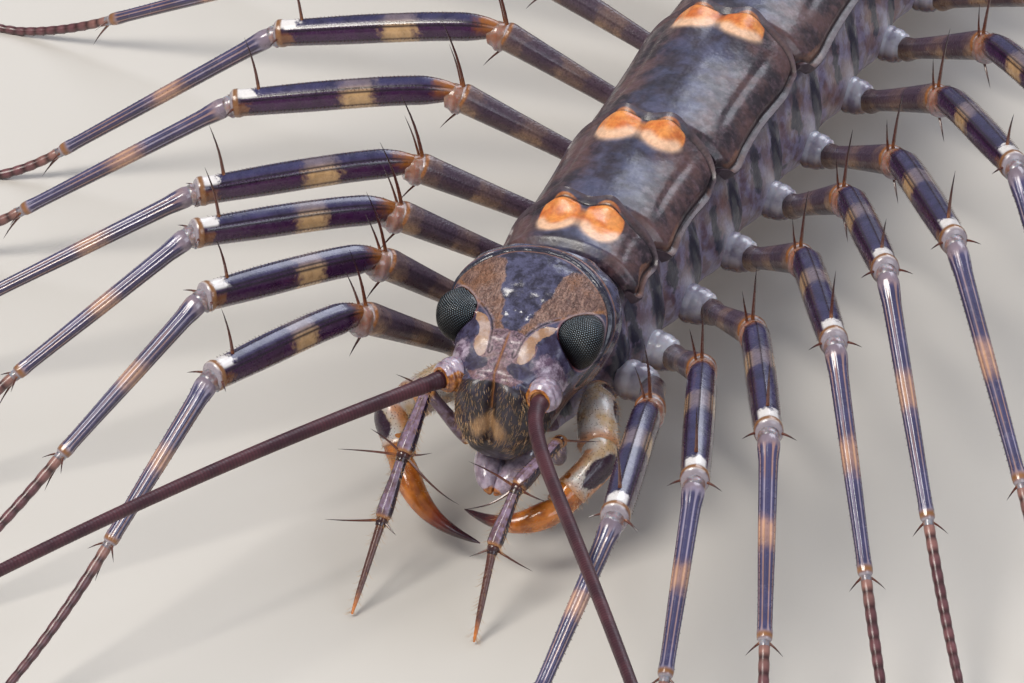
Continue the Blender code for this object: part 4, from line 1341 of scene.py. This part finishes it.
def eye_radius(angle):
    """How far the eye's outline is from its middle, in each direction."""
    return np.interp(angle, *EYE_OUTLINE, period=2.0 * math.pi)


def eye_reach():
    """Shares of the radius, how far along the dome each lies, and the mean radius."""
    share = np.linspace(0.0, 1.0, 400)
    radius = float(EYE_OUTLINE[1].mean())
    step = np.hypot(np.diff(share) * radius, np.diff(eye_dome(share)))
    return share, np.concatenate(((0.0,), np.cumsum(step))), radius


def eye_dome(share):
    """Height of the eye over its outline's plane, by share of the radius."""
    return EYE_HEIGHT * (1.0 - np.clip(share, 0.0, 1.0) ** 2.3) ** 0.66


def in_eye(local):
    """A head point's share of the eye's radius, its angle and its height."""
    gap = local - EYE_CENTRE
    across, above, normal = [gap @ axis for axis in EYE_AXES]
    angle = np.arctan2(above, across)
    return np.hypot(across, above) / eye_radius(angle), angle, normal


def fold(local):
    """The same places on the left half of the head."""
    return np.concatenate((np.abs(local[..., :1]), local[..., 1:]), axis=-1)


def line_gap(local, line):
    """Distance from the smooth line through a few places, with the sides mirrored."""
    return towards(fold(local)[..., :len(line[0])], curved(line))


def head_marks(local, upper):
    """Where each colour of the head goes, from 0 to 1."""
    half = fold(local)
    flat = half[..., :2]
    x, along = np.moveaxis(flat, -1, 0)
    share, angle, height = in_eye(half)
    near_eye = bell(share, 1.06, 0.035) * (height > -0.6)
    inner = smooth(np.cos(angle - 3.4) * 1.2)
    seam = line_gap(local, SEAM)
    cross = line_gap(local, CROSS_SEAM)
    rim = line_gap(local, RIM)
    bars = bell(line_gap(local, MEDIAN), 0.0, 0.034), bell(line_gap(local, BROW), 0.0, 0.045)
    return {
        "tan": patch(flat, CHEEK, 0.42) * upper,
        "cream": patch(flat, CREAM, 0.26) * upper,
        "dark": patch(flat, DARK, 0.34) * upper,
        "lilac": patch(local[..., :2], FACE, 0.30) * upper,
        "line": 0.85 * bell(seam, 0.0, 0.022) * upper,
        "pale": np.maximum(0.55 * bell(seam, 0.052, 0.026), 0.7 * bell(cross, 0.0, 0.040)) * upper,
        "ochre": np.maximum(*bars) * upper,
        "rim": smooth((0.17 - rim) / 0.05),
        "edge": bell(rim, 0.195, 0.022),
        "red": near_eye * inner * 0.85,
        "lobe": smooth((-1.72 - along) / 0.35),
        "under": 1.0 - smooth((local[..., 2] + 0.55) / 0.5),
        "mound": bell(np.hypot(x - 1.42, along + 1.02), 0.0, 0.48) * upper,
        "lip": 1.15 * bell(along + 2.90 + 0.30 * x, 0.0, 0.23) * smooth((0.85 - x) / 0.6) * upper,
        "milk": near_eye * (1.0 - inner) * 0.8,
    }


def head_relief(local, upper):
    """How far the head's skin stands out or in, in millimetres."""
    x = np.abs(local[..., 0])
    s = local[..., 1]
    rim = line_gap(local, RIM)
    lift = 0.05 * rough(local, 1.3, 2) * smooth((s + 0.4) / 0.8)
    for height, line, width in ((-0.010, SEAM, 0.024), (0.018, CROSS_SEAM, 0.050), (-0.035, MEDIAN, 0.035)):
        lift += height * bell(line_gap(local, line), 0.0, width)
    for height, across, along, wide, long in HEAD_LUMPS:
        lift += height * bell(x, across, wide) * bell(s, along, long)
    lift -= 0.040 * bell(x, 0.0, 0.07) * smooth((s - 0.8) / 0.6) * smooth((2.3 - s) / 0.5)
    lift -= 0.22 * bell(x, 0.0, 0.16) * smooth((-1.7 - s) / 0.4)
    lift -= 0.060 * bell(s, -1.78, 0.12) * smooth((1.2 - x) / 0.3)
    lift = lift * upper + 0.016 * rough(local, 0.5)
    return lift + 0.045 * bell(rim, 0.0, 0.06) - 0.030 * bell(rim, 0.12, 0.04) + 0.02 * bell(rim, 0.19, 0.03)


def head_rows():
    """Lengthways places, and how far the ends close in."""
    body = np.linspace(HEAD_FRONT, HEAD_REAR, 248)
    turn = np.linspace(0.0, 0.5 * math.pi, 9)[1:-1]
    front = HEAD_FRONT - 0.10 * np.sin(turn[::-1])
    rear = HEAD_REAR + 0.12 * np.sin(turn)
    closing = np.concatenate((np.cos(turn[::-1]), np.ones(len(body)), np.cos(turn)))
    return np.concatenate((front, body, rear))[:, None], closing[:, None]


def head(finish):
    """The head's skin, with seams, rim, orbits, face lobes and clypeus."""
    along, closing = head_rows()
    angle = turns(350)[None]
    angle = angle - CROWN_CROWDING * np.sin(angle)
    across = squared(np.sin(angle), HEAD_SQUARENESS)
    upward = squared(np.cos(angle), HEAD_SQUARENESS)
    height = np.where(upward > 0.0, head_top(along), head_bottom(along))
    local = stacked(head_half_width(along) * across * closing, along, height * upward * closing)
    upper = smooth((upward + 0.05) / 0.25) * np.ones_like(along)
    out = np.cross(np.gradient(local, axis=0), np.gradient(local, axis=1))
    out /= np.maximum(np.linalg.norm(out, axis=-1, keepdims=True), 1e-9)
    out *= np.sign((out * (local - np.array((0.0, 0.4, -0.2)))).sum(axis=-1, keepdims=True))
    marks = head_marks(local, upper)
    local = local + out * (head_relief(local, upper) * closing)[..., None]
    # The skin sinks below each eye and rises round it
    share, _, level = in_eye(fold(local))
    covered = share < 1.0
    sunk = np.minimum(level, 0.03 - 0.20 * smooth((1.0 - share) / 0.12)) - level
    raised = 0.05 * bell(share, 1.06, 0.05) * smooth((1.30 - share) / 0.30)
    settled = np.maximum(level - 0.06, 0.0) * smooth((1.22 - share) / 0.22)
    shift = np.where(covered, sunk, raised - settled) * ((level > -0.75) & (share < 1.35))
    move = shift[..., None] * EYE_AXES[2]
    move[..., 0] *= np.sign(local[..., 0])
    local = local + move
    shape = Shape()
    add_grid(shape, head_place(local), **marks)
    shape.piece("head_dressed", (finish,), "head_shell", "head", sharp=60.0)
    return local


def socket(word, finish):
    """The ringed, milky hood round a feeler's root, with amber skin inside."""
    side = SIDES[word]
    shape = Shape()
    middle = mirrored(SOCKET_MIDDLE, side)
    heading, rise, bend = ANTENNAE[word]
    way = unit(np.array(ahead(math.radians(heading - bend), side) + UP * rise))
    share = np.linspace(0.0, 1.0, 64)
    reach = blend_along(share, ((0.0, -0.42), (0.40, 0.10), (0.60, 0.36), (0.75, 0.40), (0.88, 0.34),
                                (1.0, 0.36)))
    size = blend_along(share, ((0.0, 0.46), (0.25, 0.55), (0.45, 0.49), (0.62, 0.38), (0.76, 0.31),
                               (0.88, 0.26), (1.0, 0.20)))
    folds = smooth((share - 0.30) / 0.1) * smooth((0.85 - share) / 0.1)
    size = size + 0.022 * np.cos(12.0 * math.pi * share) * folds
    path = middle + way * reach[:, None]
    angle = turns(60)
    across = unit(np.cross(way, UP))
    above = np.cross(across, way)
    radius = size[:, None] * (1.0 + 0.10 * np.cos(angle - side * 0.5) + 0.03 * np.cos(3.0 * angle))
    ring = (path[:, None] + across * (radius * np.sin(angle))[..., None]
            + above * (radius * np.cos(angle))[..., None])
    ring = ring + 0.03 * rough(ring, 0.25)[..., None] * way
    low = smooth((0.15 - np.cos(angle + side * 0.9)) / 0.6)
    amber = np.maximum(smooth((share - 0.62) / 0.10)[:, None],
                       0.9 * low * smooth((share - 0.1) / 0.3)[:, None])
    add_grid(shape, ring, amber=amber)
    shape.piece("socket_" + word, (finish,), "head_shell", sharp=60.0)


def eye(word, finish):
    """A glossy dark dome set with a honeycomb of tiny lenses."""
    side = SIDES[word]
    shape = Shape()
    share = np.linspace(0.0, 1.0, 30)[::-1, None]
    angle = turns(96)[None]
    axes = np.array(EYE_AXES)

    def over(spread, turn, lift):
        """Points over the dome, by share of the radius, angle and height above it."""
        radius = spread * eye_radius(turn)
        flat = stacked(radius * np.cos(turn), radius * np.sin(turn), eye_dome(spread) + lift)
        return EYE_CENTRE + flat @ axes

    dome = over(share, angle, -0.012)
    skirt = over(np.ones((1, 1)), angle, -0.26)
    dome = np.concatenate((skirt, dome), axis=0)
    add_grid(shape, mirrored(head_place(dome), side), lens=0.0, upper=0.0)
    shares, arcs, mean = eye_reach()
    span = int(2.0 / FACET)
    row, column = np.meshgrid(np.arange(-span, span + 1), np.arange(-span, span + 1), indexing="ij")
    x = (column + 0.5 * (row % 2)) * FACET
    y = row * FACET * math.sqrt(0.75)

    def spread(px, py):
        """A flat place's angle, its distance up the dome and its share of the radius."""
        turn = np.arctan2(py, px)
        arc = np.hypot(px, py) / eye_radius(turn) * mean
        return turn, arc, np.interp(arc, arcs, shares)

    def on_dome(px, py):
        """The place on the dome where a flat place lands."""
        turn, _, reach = spread(px, py)
        return over(reach, turn, 0.0)

    keep = spread(x, y)[1] < arcs[-1] - 0.6 * FACET
    x = x[keep]
    y = y[keep]
    tiny = 0.004
    centre = on_dome(x, y)
    slope_x = (on_dome(x + tiny, y) - on_dome(x - tiny, y)) / (2.0 * tiny)
    slope_y = (on_dome(x, y + tiny) - on_dome(x, y - tiny)) / (2.0 * tiny)
    out = unit(np.cross(slope_x, slope_y))
    # Each lens point carries the brightness of its painted highlight, brightest at the middle
    points = [centre + out * LENS_TOP]
    bright = [1.0]
    for size, lift, painted_glint_level in LENS_RINGS:
        radius = FACET / math.sqrt(3.0) * size * LENS_FILL
        for corner in range(6):
            spin = math.pi / 6.0 + corner * math.pi / 3.0
            edge = slope_x * math.cos(spin) * radius + slope_y * math.sin(spin) * radius
            points.append(centre + edge + out * lift)
            bright.append(painted_glint_level)
    points = np.stack(points, axis=1)
    triangles = [(0, 1 + c, 1 + (c + 1) % 6) for c in range(6)]
    for ring in (1, 7):
        for c in range(6):
            d = (c + 1) % 6
            triangles += [(ring + c, ring + 6 + c, ring + 6 + d), (ring + c, ring + 6 + d, ring + d)]
    base = np.arange(len(points))[:, None, None] * points.shape[1]
    faces = (base + np.array(triangles)[None]).reshape(-1, 3)
    if side < 0.0:
        faces = faces[:, ::-1]
    # How bright each lens's painted highlight is, and how far the lens faces the light
    lens = np.tile(bright, len(centre))
    height = (centre - EYE_CENTRE) @ np.array(EYE_SHINE[word])
    shape.add(mirrored(head_place(points), side), faces, 0, lens=lens, upper=np.repeat(height, len(bright)))
    name = "eye_" + word
    shape.piece(name + "_dressed", (finish,), "eye", name, sharp=80.0)


def antenna(word, finish):
    """A whip of several hundred fine rings, on two stouter root rings."""
    side = SIDES[word]
    heading, rise, bend = ANTENNAE[word]
    root = mirrored(SOCKET_MIDDLE, side)
    fall = root[2] + rise * ANTENNA_LENGTH - FOOT_SINK * CAD_ANTENNA_TIP
    length = np.arange(0.30, ANTENNA_LENGTH, ANTENNA_STEP)
    turn = np.radians(heading - bend * np.exp(-length / ANTENNA_BEND_LENGTH))
    step = np.diff(length, prepend=0.0)
    share = length / ANTENNA_LENGTH
    x = root[0] + side * np.cumsum(np.sin(turn) * step)
    y = root[1] - np.cumsum(np.cos(turn) * step)
    z = root[2] + rise * length - fall * share ** 2
    radius = ANTENNA_RADIUS + (ANTENNA_TIP_RADIUS - ANTENNA_RADIUS) * share ** 0.8
    radius = radius * (1.0 + 0.18 * bell(length, 0.55, 0.22) + 0.10 * bell(length, 1.15, 0.22))
    ring = np.where(np.arange(len(length)) % 3 == 0, 1.0, 0.0)
    radius = radius * (1.0 - 0.045 * ring)
    radius[-3:] *= (0.9, 0.7, 0.35)
    z = np.maximum(z, radius + 0.005)
    path = stacked(x, y, z)
    shape = Shape()
    add_tube(shape, path, radius, 14, ring=ring)
    name = "antenna_" + word
    shape.piece(name + "_dressed", (finish,), "feeler", name, sharp=80.0)


# Palps, poison claws and mouthparts

PALP_FOOT = 3
PALP_ROWS = 46
PALP_PROFILES = (
    ((0.0, 0.20), (0.2, 0.24), (0.8, 0.20), (0.95, 0.22), (1.0, 0.16)),
    ((0.0, 0.13), (0.05, 0.17), (0.3, 0.19), (0.85, 0.265), (0.95, 0.245), (1.0, 0.15)),
    ((0.0, 0.12), (0.05, 0.155), (0.3, 0.17), (0.85, 0.235), (0.95, 0.22), (1.0, 0.13)),
    ((0.0, 0.10), (0.05, 0.13), (0.2, 0.115), (0.7, 0.085), (1.0, 0.035)),
)

# Where each palp's spines reach from its joints, with how far they bow
PALP_SPINES = {
    "right": (
        (2, (-1.90, -0.66, 0.14), (0.0, 0.0, 0.03)), (2, (-1.02, -0.15, 0.80), (0.05, 0.0, 0.05)),
        (2, (0.86, 0.25, 0.14), (0.0, 0.0, -0.04)), (2, (1.92, -0.15, -1.25), (0.08, 0.0, -0.22)),
        (3, (-1.62, -0.66, 0.02), (0.0, 0.0, -0.03)), (3, (0.62, -0.35, -0.20), (0.0, 0.0, 0.0)),
        (1, (-0.90, -0.30, 0.55), (0.0, 0.0, 0.05)),
    ),
    "left": (
        (2, (-1.50, -0.25, 0.74), (0.0, 0.0, 0.06)), (2, (-1.34, -0.92, -0.56), (0.05, 0.0, -0.14)),
        (2, (1.05, -0.20, -0.12), (0.0, 0.0, -0.04)), (2, (0.62, -0.40, 0.78), (0.0, 0.0, 0.05)),
        (3, (1.28, 0.05, -0.56), (0.0, 0.0, -0.03)), (3, (-0.60, -0.45, -0.20), (0.0, 0.0, 0.0)),
        (1, (1.15, 0.30, 0.06), (0.0, 0.0, -0.03)),
    ),
}
PALP_SHELL, PALP_BROWN = range(2)
CLAW_BASE, CLAW_AMBER = range(2)


def palp_relief(degrees):
    lift = 0.07 * bell(degrees, 62.0, 9.0) - 0.05 * bell(degrees, 18.0, 9.0) + 0.05 * bell(degrees, 0.0, 7.0)
    rib = smooth((degrees - 42.0) / 14.0) + 0.55 * bell(degrees, 0.0, 5.0)
    return lift + 0.05 * bell(degrees, 120.0, 10.0), {"rib": np.clip(rib, 0.0, 1.0)}


def golden_hairs(shape, ring, count, length, dice):
    """Short hairs that stand off a segment's skin and point down it."""
    rows, columns = ring.shape[:2]
    row = dice.integers(2, rows - 3, count)
    column = dice.integers(0, columns, count)
    middle = ring.mean(axis=1)
    way = unit(middle[row + 1] - middle[row])
    out = unit(ring[row, column] - middle[row])
    roots = ring[row, column] - out * ROOT_DEPTH
    size = length * (0.6 + 0.8 * dice.random(count))[:, None]
    tips = roots + (out * 0.85 + way * 0.55) * size
    tips[:, 2] = np.maximum(tips[:, 2], HAIR_FLOOR)
    places = np.stack((row / rows, column / columns), axis=-1) * 0.9
    add_hairs(shape, roots, tips, 0.0060, 0, way * 0.15 * size, places)


def palp(word, finishes, hairs, dice):
    """A leg-like palp: four dark-edged segments, spines and golden hairs."""
    joints = [Vector(place) for place in PALPS[word]]
    shape = Shape()
    for number, (low, high) in enumerate(zip(joints, joints[1:])):
        marks = {"rib": 0.0} if number == 0 else {}
        if number == PALP_FOOT:
            marks = {"foot": 1.0, "tip": smooth((stations(PALP_ROWS) - 0.72) / 0.25)}
        ring = shell_tube(shape, low, high, PALP_SHELL, PALP_PROFILES[number], palp_relief, PALP_ROWS, 40,
                          wide=1.05, tall=0.95, **marks)
        if number:
            golden_hairs(hairs, ring, 120 if number < PALP_FOOT else 70, 0.24, dice)
        if number < PALP_FOOT:
            radius = PALP_PROFILES[number][3][1]
            joint_skin(shape, low, high, joints[number + 2], radius * 0.92, bulge=0.15, folds=2,
                       kind=PALP_BROWN)
    for joint, reach, bow in PALP_SPINES[word]:
        reach = Vector(reach)
        add_spine(shape, joints[joint] + reach * 0.07, joints[joint] + reach, 0.050, PALP_BROWN, bow, 9)
    name = "palp_" + word
    shape.piece(name + "_dressed", finishes, "leg", name)


def ring_segment(shape, path, profile, kind, columns=60, rows=70, relief=None, **values):
    """A stout segment along a bent path, with lumps and a rolled end."""
    share = np.linspace(0.0, 1.0, rows)[:, None]
    fine = curved(path, 12)
    line = read_along(share[:, 0], np.linspace(0.0, 1.0, len(fine)), fine)
    angle = turns(columns)
    radii = blend_along(share, profile)
    if relief is not None:
        radii = radii * (1.0 + relief(share, angle[None]))
    data = {name: value(share, angle[None]) for name, value in values.items()}
    return add_tube(shape, line, radii, kind=kind, angle=angle, **data)


def claw_lumps(share, angle):
    return 0.04 * np.sin(3.0 * angle + 4.0 * share) * smooth(share / 0.2) * smooth((1.0 - share) / 0.2)


def forcipule(word, finishes, hairs, dice):
    """A poison claw: dotted cream base, two amber rings and a dark-tipped fang."""
    side = SIDES[word]
    base, bulge, knee, wrist, tip = [np.array(place) for place in CLAWS[word]]
    shape = Shape()
    outer = -side * 1.35

    def patches(share, angle):
        front = bell(share, 0.60, 0.20) * bell(angle, outer, 0.75)
        return front + 0.9 * bell(share, 0.18, 0.14) * bell(angle, outer * 0.6, 0.8)

    def band(share, angle):
        return 1.1 * bell(share, 0.62, 0.26) * bell(angle, outer * 0.9, 0.85)

    def warm(share, angle):
        return smooth((share - 0.25) / 0.3) * (1.0 - bell(angle, outer * 0.6, 0.9))

    def pale(share, angle):
        return 0.5 * bell(share, 1.0, 0.15)

    path = (base, base + (bulge - base) * 0.5, bulge, bulge + (knee - bulge) * 0.72)
    profile = ((0.0, 0.40), (0.2, 0.55), (0.55, 0.65), (0.85, 0.63), (0.94, 0.66), (0.97, 0.62), (1.0, 0.48))
    low = ring_segment(shape, path, profile, CLAW_BASE, relief=claw_lumps, dark=patches)
    path = (bulge + (knee - bulge) * 0.62, knee, knee + (wrist - knee) * 0.70)
    profile = ((0.0, 0.46), (0.15, 0.57), (0.6, 0.55), (0.90, 0.52), (0.95, 0.54), (1.0, 0.40))
    ring_segment(shape, path, profile, CLAW_BASE, rows=64, relief=claw_lumps, dark=band, warm=warm)
    path = (knee + (wrist - knee) * 0.35, knee + (wrist - knee) * 0.7, wrist)
    profile = ((0.0, 0.40), (0.2, 0.50), (0.7, 0.47), (0.9, 0.45), (1.0, 0.36))
    shaft = ring_segment(shape, path, profile, CLAW_AMBER, rows=44, relief=claw_lumps, base=pale)
    steps = np.linspace(0.0, 1.0, 60)
    bow = np.array((side * 0.16, -0.50, -0.20))
    path = wrist + (tip - wrist) * steps[:, None] + bow * np.sin(math.pi * steps)[:, None]
    path = path - (tip - wrist) * 0.05 * (1.0 - steps[:, None])
    radii = blend_along(steps, ((0.0, 0.37), (0.15, 0.43), (0.40, 0.35), (0.62, 0.245), (0.80, 0.150),
                                (0.93, 0.080), (1.0, 0.018)))
    fang = add_tube(shape, path, radii, 44, CLAW_AMBER, tip=steps, base=0.4 * bell(steps, 0.0, 0.08))
    golden_hairs(hairs, low, 420, 0.14, dice)
    golden_hairs(hairs, shaft, 160, 0.15, dice)
    golden_hairs(hairs, fang[:25], 90, 0.14, dice)
    name = "forcipule_" + word
    shape.piece(name + "_dressed", finishes, "claw", name)


def mouthparts(finishes):
    """Milky inner jaws below the face: a grooved lip, two lobes and amber edges."""
    shape = Shape()
    share = np.linspace(0.02, 0.98, 60)[:, None] * math.pi
    angle = turns(72)[None]
    across = np.sin(share) * np.sin(angle)
    above = np.sin(share) * np.cos(angle)
    forth = -np.cos(share) + 0.0 * angle
    groove = 0.10 * bell(across, 0.0, 0.10) + 0.05 * bell(np.abs(across), 0.55, 0.07)
    size = 1.0 - groove * smooth((above + 0.8) / 0.6) + 0.03 * np.cos(9.0 * forth)
    points = stacked(across * 1.05 * size, forth * 1.15 - 0.35, above * 0.42 * size + 2.72)
    points = points + 0.02 * rough(points, 0.3)[..., None]
    amber = 0.25 * smooth((np.abs(forth) - 0.70) / 0.3)
    add_grid(shape, points, amber=amber)

    def end(share, angle):
        return smooth((share - 0.80) / 0.2)

    profile = ((0.0, 0.30), (0.35, 0.46), (0.70, 0.36), (0.92, 0.16), (1.0, 0.04))
    for side in SIDES.values():
        path = ((side * 0.62, 0.1, 3.00), (side * 0.54, -0.85, 2.96), (side * 0.34, -1.50, 2.72),
                (side * 0.07, -1.95, 2.40))
        ring_segment(shape, path, profile, 0, 48, 56, amber=end)
    shape.piece("mouthparts_dressed", finishes, "claw", "mouthparts")


# Hairs of the head

def head_hairs(finish, local):
    """Golden bristles on the face lobes and short dark fuzz on the cheeks."""
    dice = np.random.default_rng(7)
    rows, columns = local.shape[:2]
    shape = Shape()
    for kind, (zone, count) in enumerate((("face", 850), ("cheek", 2600))):
        row = dice.integers(4, rows - 12, count * 12)
        column = dice.integers(0, columns, count * 12)
        spot = local[row, column]
        x = np.abs(spot[:, 0])
        s = spot[:, 1]
        above = spot[:, 2]
        if zone == "face":
            chance = 0.25 + 0.75 * smooth((-1.7 - s) / 0.5)
            keep = (s < -1.7) & (above > -0.9) & (dice.random(len(s)) < chance)
        else:
            keep = inside(np.stack((x, s), axis=-1), CHEEK) & (above > 0.1)
        row = row[keep][:count]
        column = column[keep][:count]
        spot = local[row, column]
        ahead_row = local[row - 3, column] - spot
        beside = local[row, (column + 3) % columns] - spot
        out = unit(np.cross(beside, ahead_row))
        out *= np.sign((out * (spot - np.array((0.0, spot[0, 1], -0.5)))).sum(axis=1, keepdims=True))
        lie = unit(ahead_row)
        stray = dice.normal(0.0, 0.22, spot.shape)
        number = len(spot)
        if zone == "face":
            size = (0.10 + 0.12 * dice.random(number))[:, None]
            tips = spot + (lie * 0.9 + out * 0.42 + stray * 0.8) * size
            radius = 0.0042
        else:
            size = (0.045 + 0.03 * dice.random(number))[:, None]
            tips = spot + (out * 0.6 - lie * 0.6 + stray) * size
            radius = 0.005
        bows = out * size * 0.12
        places = np.stack((column / columns, row / rows), axis=-1)
        roots = head_place(spot - out * ROOT_DEPTH)
        add_hairs(shape, roots, head_place(tips), radius, kind, head_turn(bows), places)
    shape.piece("head_hairs", finish, "head_shell", coat=True)


def head_turn(local):
    """Turn directions from the head's own axes to the model's."""
    return head_place(local) - np.array(HEAD_MIDDLE)


# Stage

def stage(finish):
    """A plain pale floor, a faint pale world and soft lights."""
    mesh = bpy.data.meshes.new("floor")
    corners = [(x * FLOOR_REACH, y * FLOOR_REACH, 0.0) for x, y in ((-1, -1), (1, -1), (1, 1), (-1, 1))]
    mesh.from_pydata(corners, [], [(0, 1, 2, 3)])
    floor = bpy.data.objects.new("floor", mesh)
    mesh.materials.append(finish)
    bpy.context.scene.collection.objects.link(floor)
    bpy.context.scene.view_settings.view_transform = "Standard"
    world = bpy.data.worlds.new("studio")
    bpy.context.scene.world = world
    world.use_nodes = True
    background = world.node_tree.nodes["Background"]
    background.inputs["Color"].default_value = tone(*WORLD_COLOUR)
    background.inputs["Strength"].default_value = WORLD_STRENGTH
    for name, (place, size, power, colour) in LIGHTS.items():
        data = bpy.data.lights.new(name, "AREA")
        data.size = size
        data.energy = power
        data.color = tone(*colour)[:3]
        lamp = bpy.data.objects.new(name, data)
        lamp.location = place
        lamp.rotation_euler = (LIGHT_AIM - Vector(place)).to_track_quat("-Z", "Y").to_euler()
        bpy.context.scene.collection.objects.link(lamp)


def camera():
    """The photograph's camera, whose offsets are measured in its own picture."""
    back = Vector((math.sin(CAMERA_AZIMUTH) * math.cos(CAMERA_ELEVATION),
                   -math.cos(CAMERA_AZIMUTH) * math.cos(CAMERA_ELEVATION), math.sin(CAMERA_ELEVATION)))
    level = Vector((math.cos(CAMERA_AZIMUTH), math.sin(CAMERA_AZIMUTH), 0.0))
    above = back.cross(level)
    right = level * math.cos(CAMERA_ROLL) + above * math.sin(CAMERA_ROLL)
    up = above * math.cos(CAMERA_ROLL) - level * math.sin(CAMERA_ROLL)
    aim = Vector((0.0, 0.0, CAMERA_AIM_HEIGHT)) - right * CAMERA_OFFSET_RIGHT - up * CAMERA_OFFSET_UP
    place = Matrix((right, up, back)).transposed().to_4x4()
    place.translation = (aim + back * CAMERA_DISTANCE - Vector(MIDDLE)) * MM
    data = bpy.data.cameras.new("camera")
    data.sensor_width = 36.0
    data.lens = CAMERA_LENS
    data.clip_start = 0.001
    item = bpy.data.objects.new("camera", data)
    item.matrix_world = place
    bpy.context.scene.collection.objects.link(item)
    bpy.context.scene.camera = item


def main():
    """Make the stage, the materials and every piece."""
    stage(floor_finish())
    camera()
    skin = membrane_finish()
    spines = spine_finish()
    limbs = (coxa_finish(), prefemur_finish(), femur_finish(), tibia_finish(), tarsus_finish(), skin, spines)
    gold = hair_finish("golden_hair", (166, 120, 72), (218, 184, 138))
    fuzz = hair_finish("dark_fuzz", (58, 40, 38), (96, 70, 58))
    trunk_skin(flank_finish())
    plates = plate_finish()
    for number in range(1, len(PLATE_ENDS)):
        back_plate(number, plates)
    tail(plates)
    local = head(head_finish())
    head_hairs((gold, fuzz), local)
    eyes = eye_finish()
    sockets = socket_finish()
    feelers = feeler_finish()
    palps = (palp_finish(), spines)
    claws = (claw_base_finish(), claw_finish())
    dice = np.random.default_rng(29)
    hairs = Shape()
    for word in SIDES:
        eye(word, eyes)
        socket(word, sockets)
        antenna(word, feelers)
        palp(word, palps, hairs, dice)
        forcipule(word, claws, hairs, dice)
        for k in range(PAIRS):
            leg(k, word, limbs)
    hairs.piece("mouth_hairs", (gold,), "leg", coat=True)
    mouthparts((sockets,))


main()
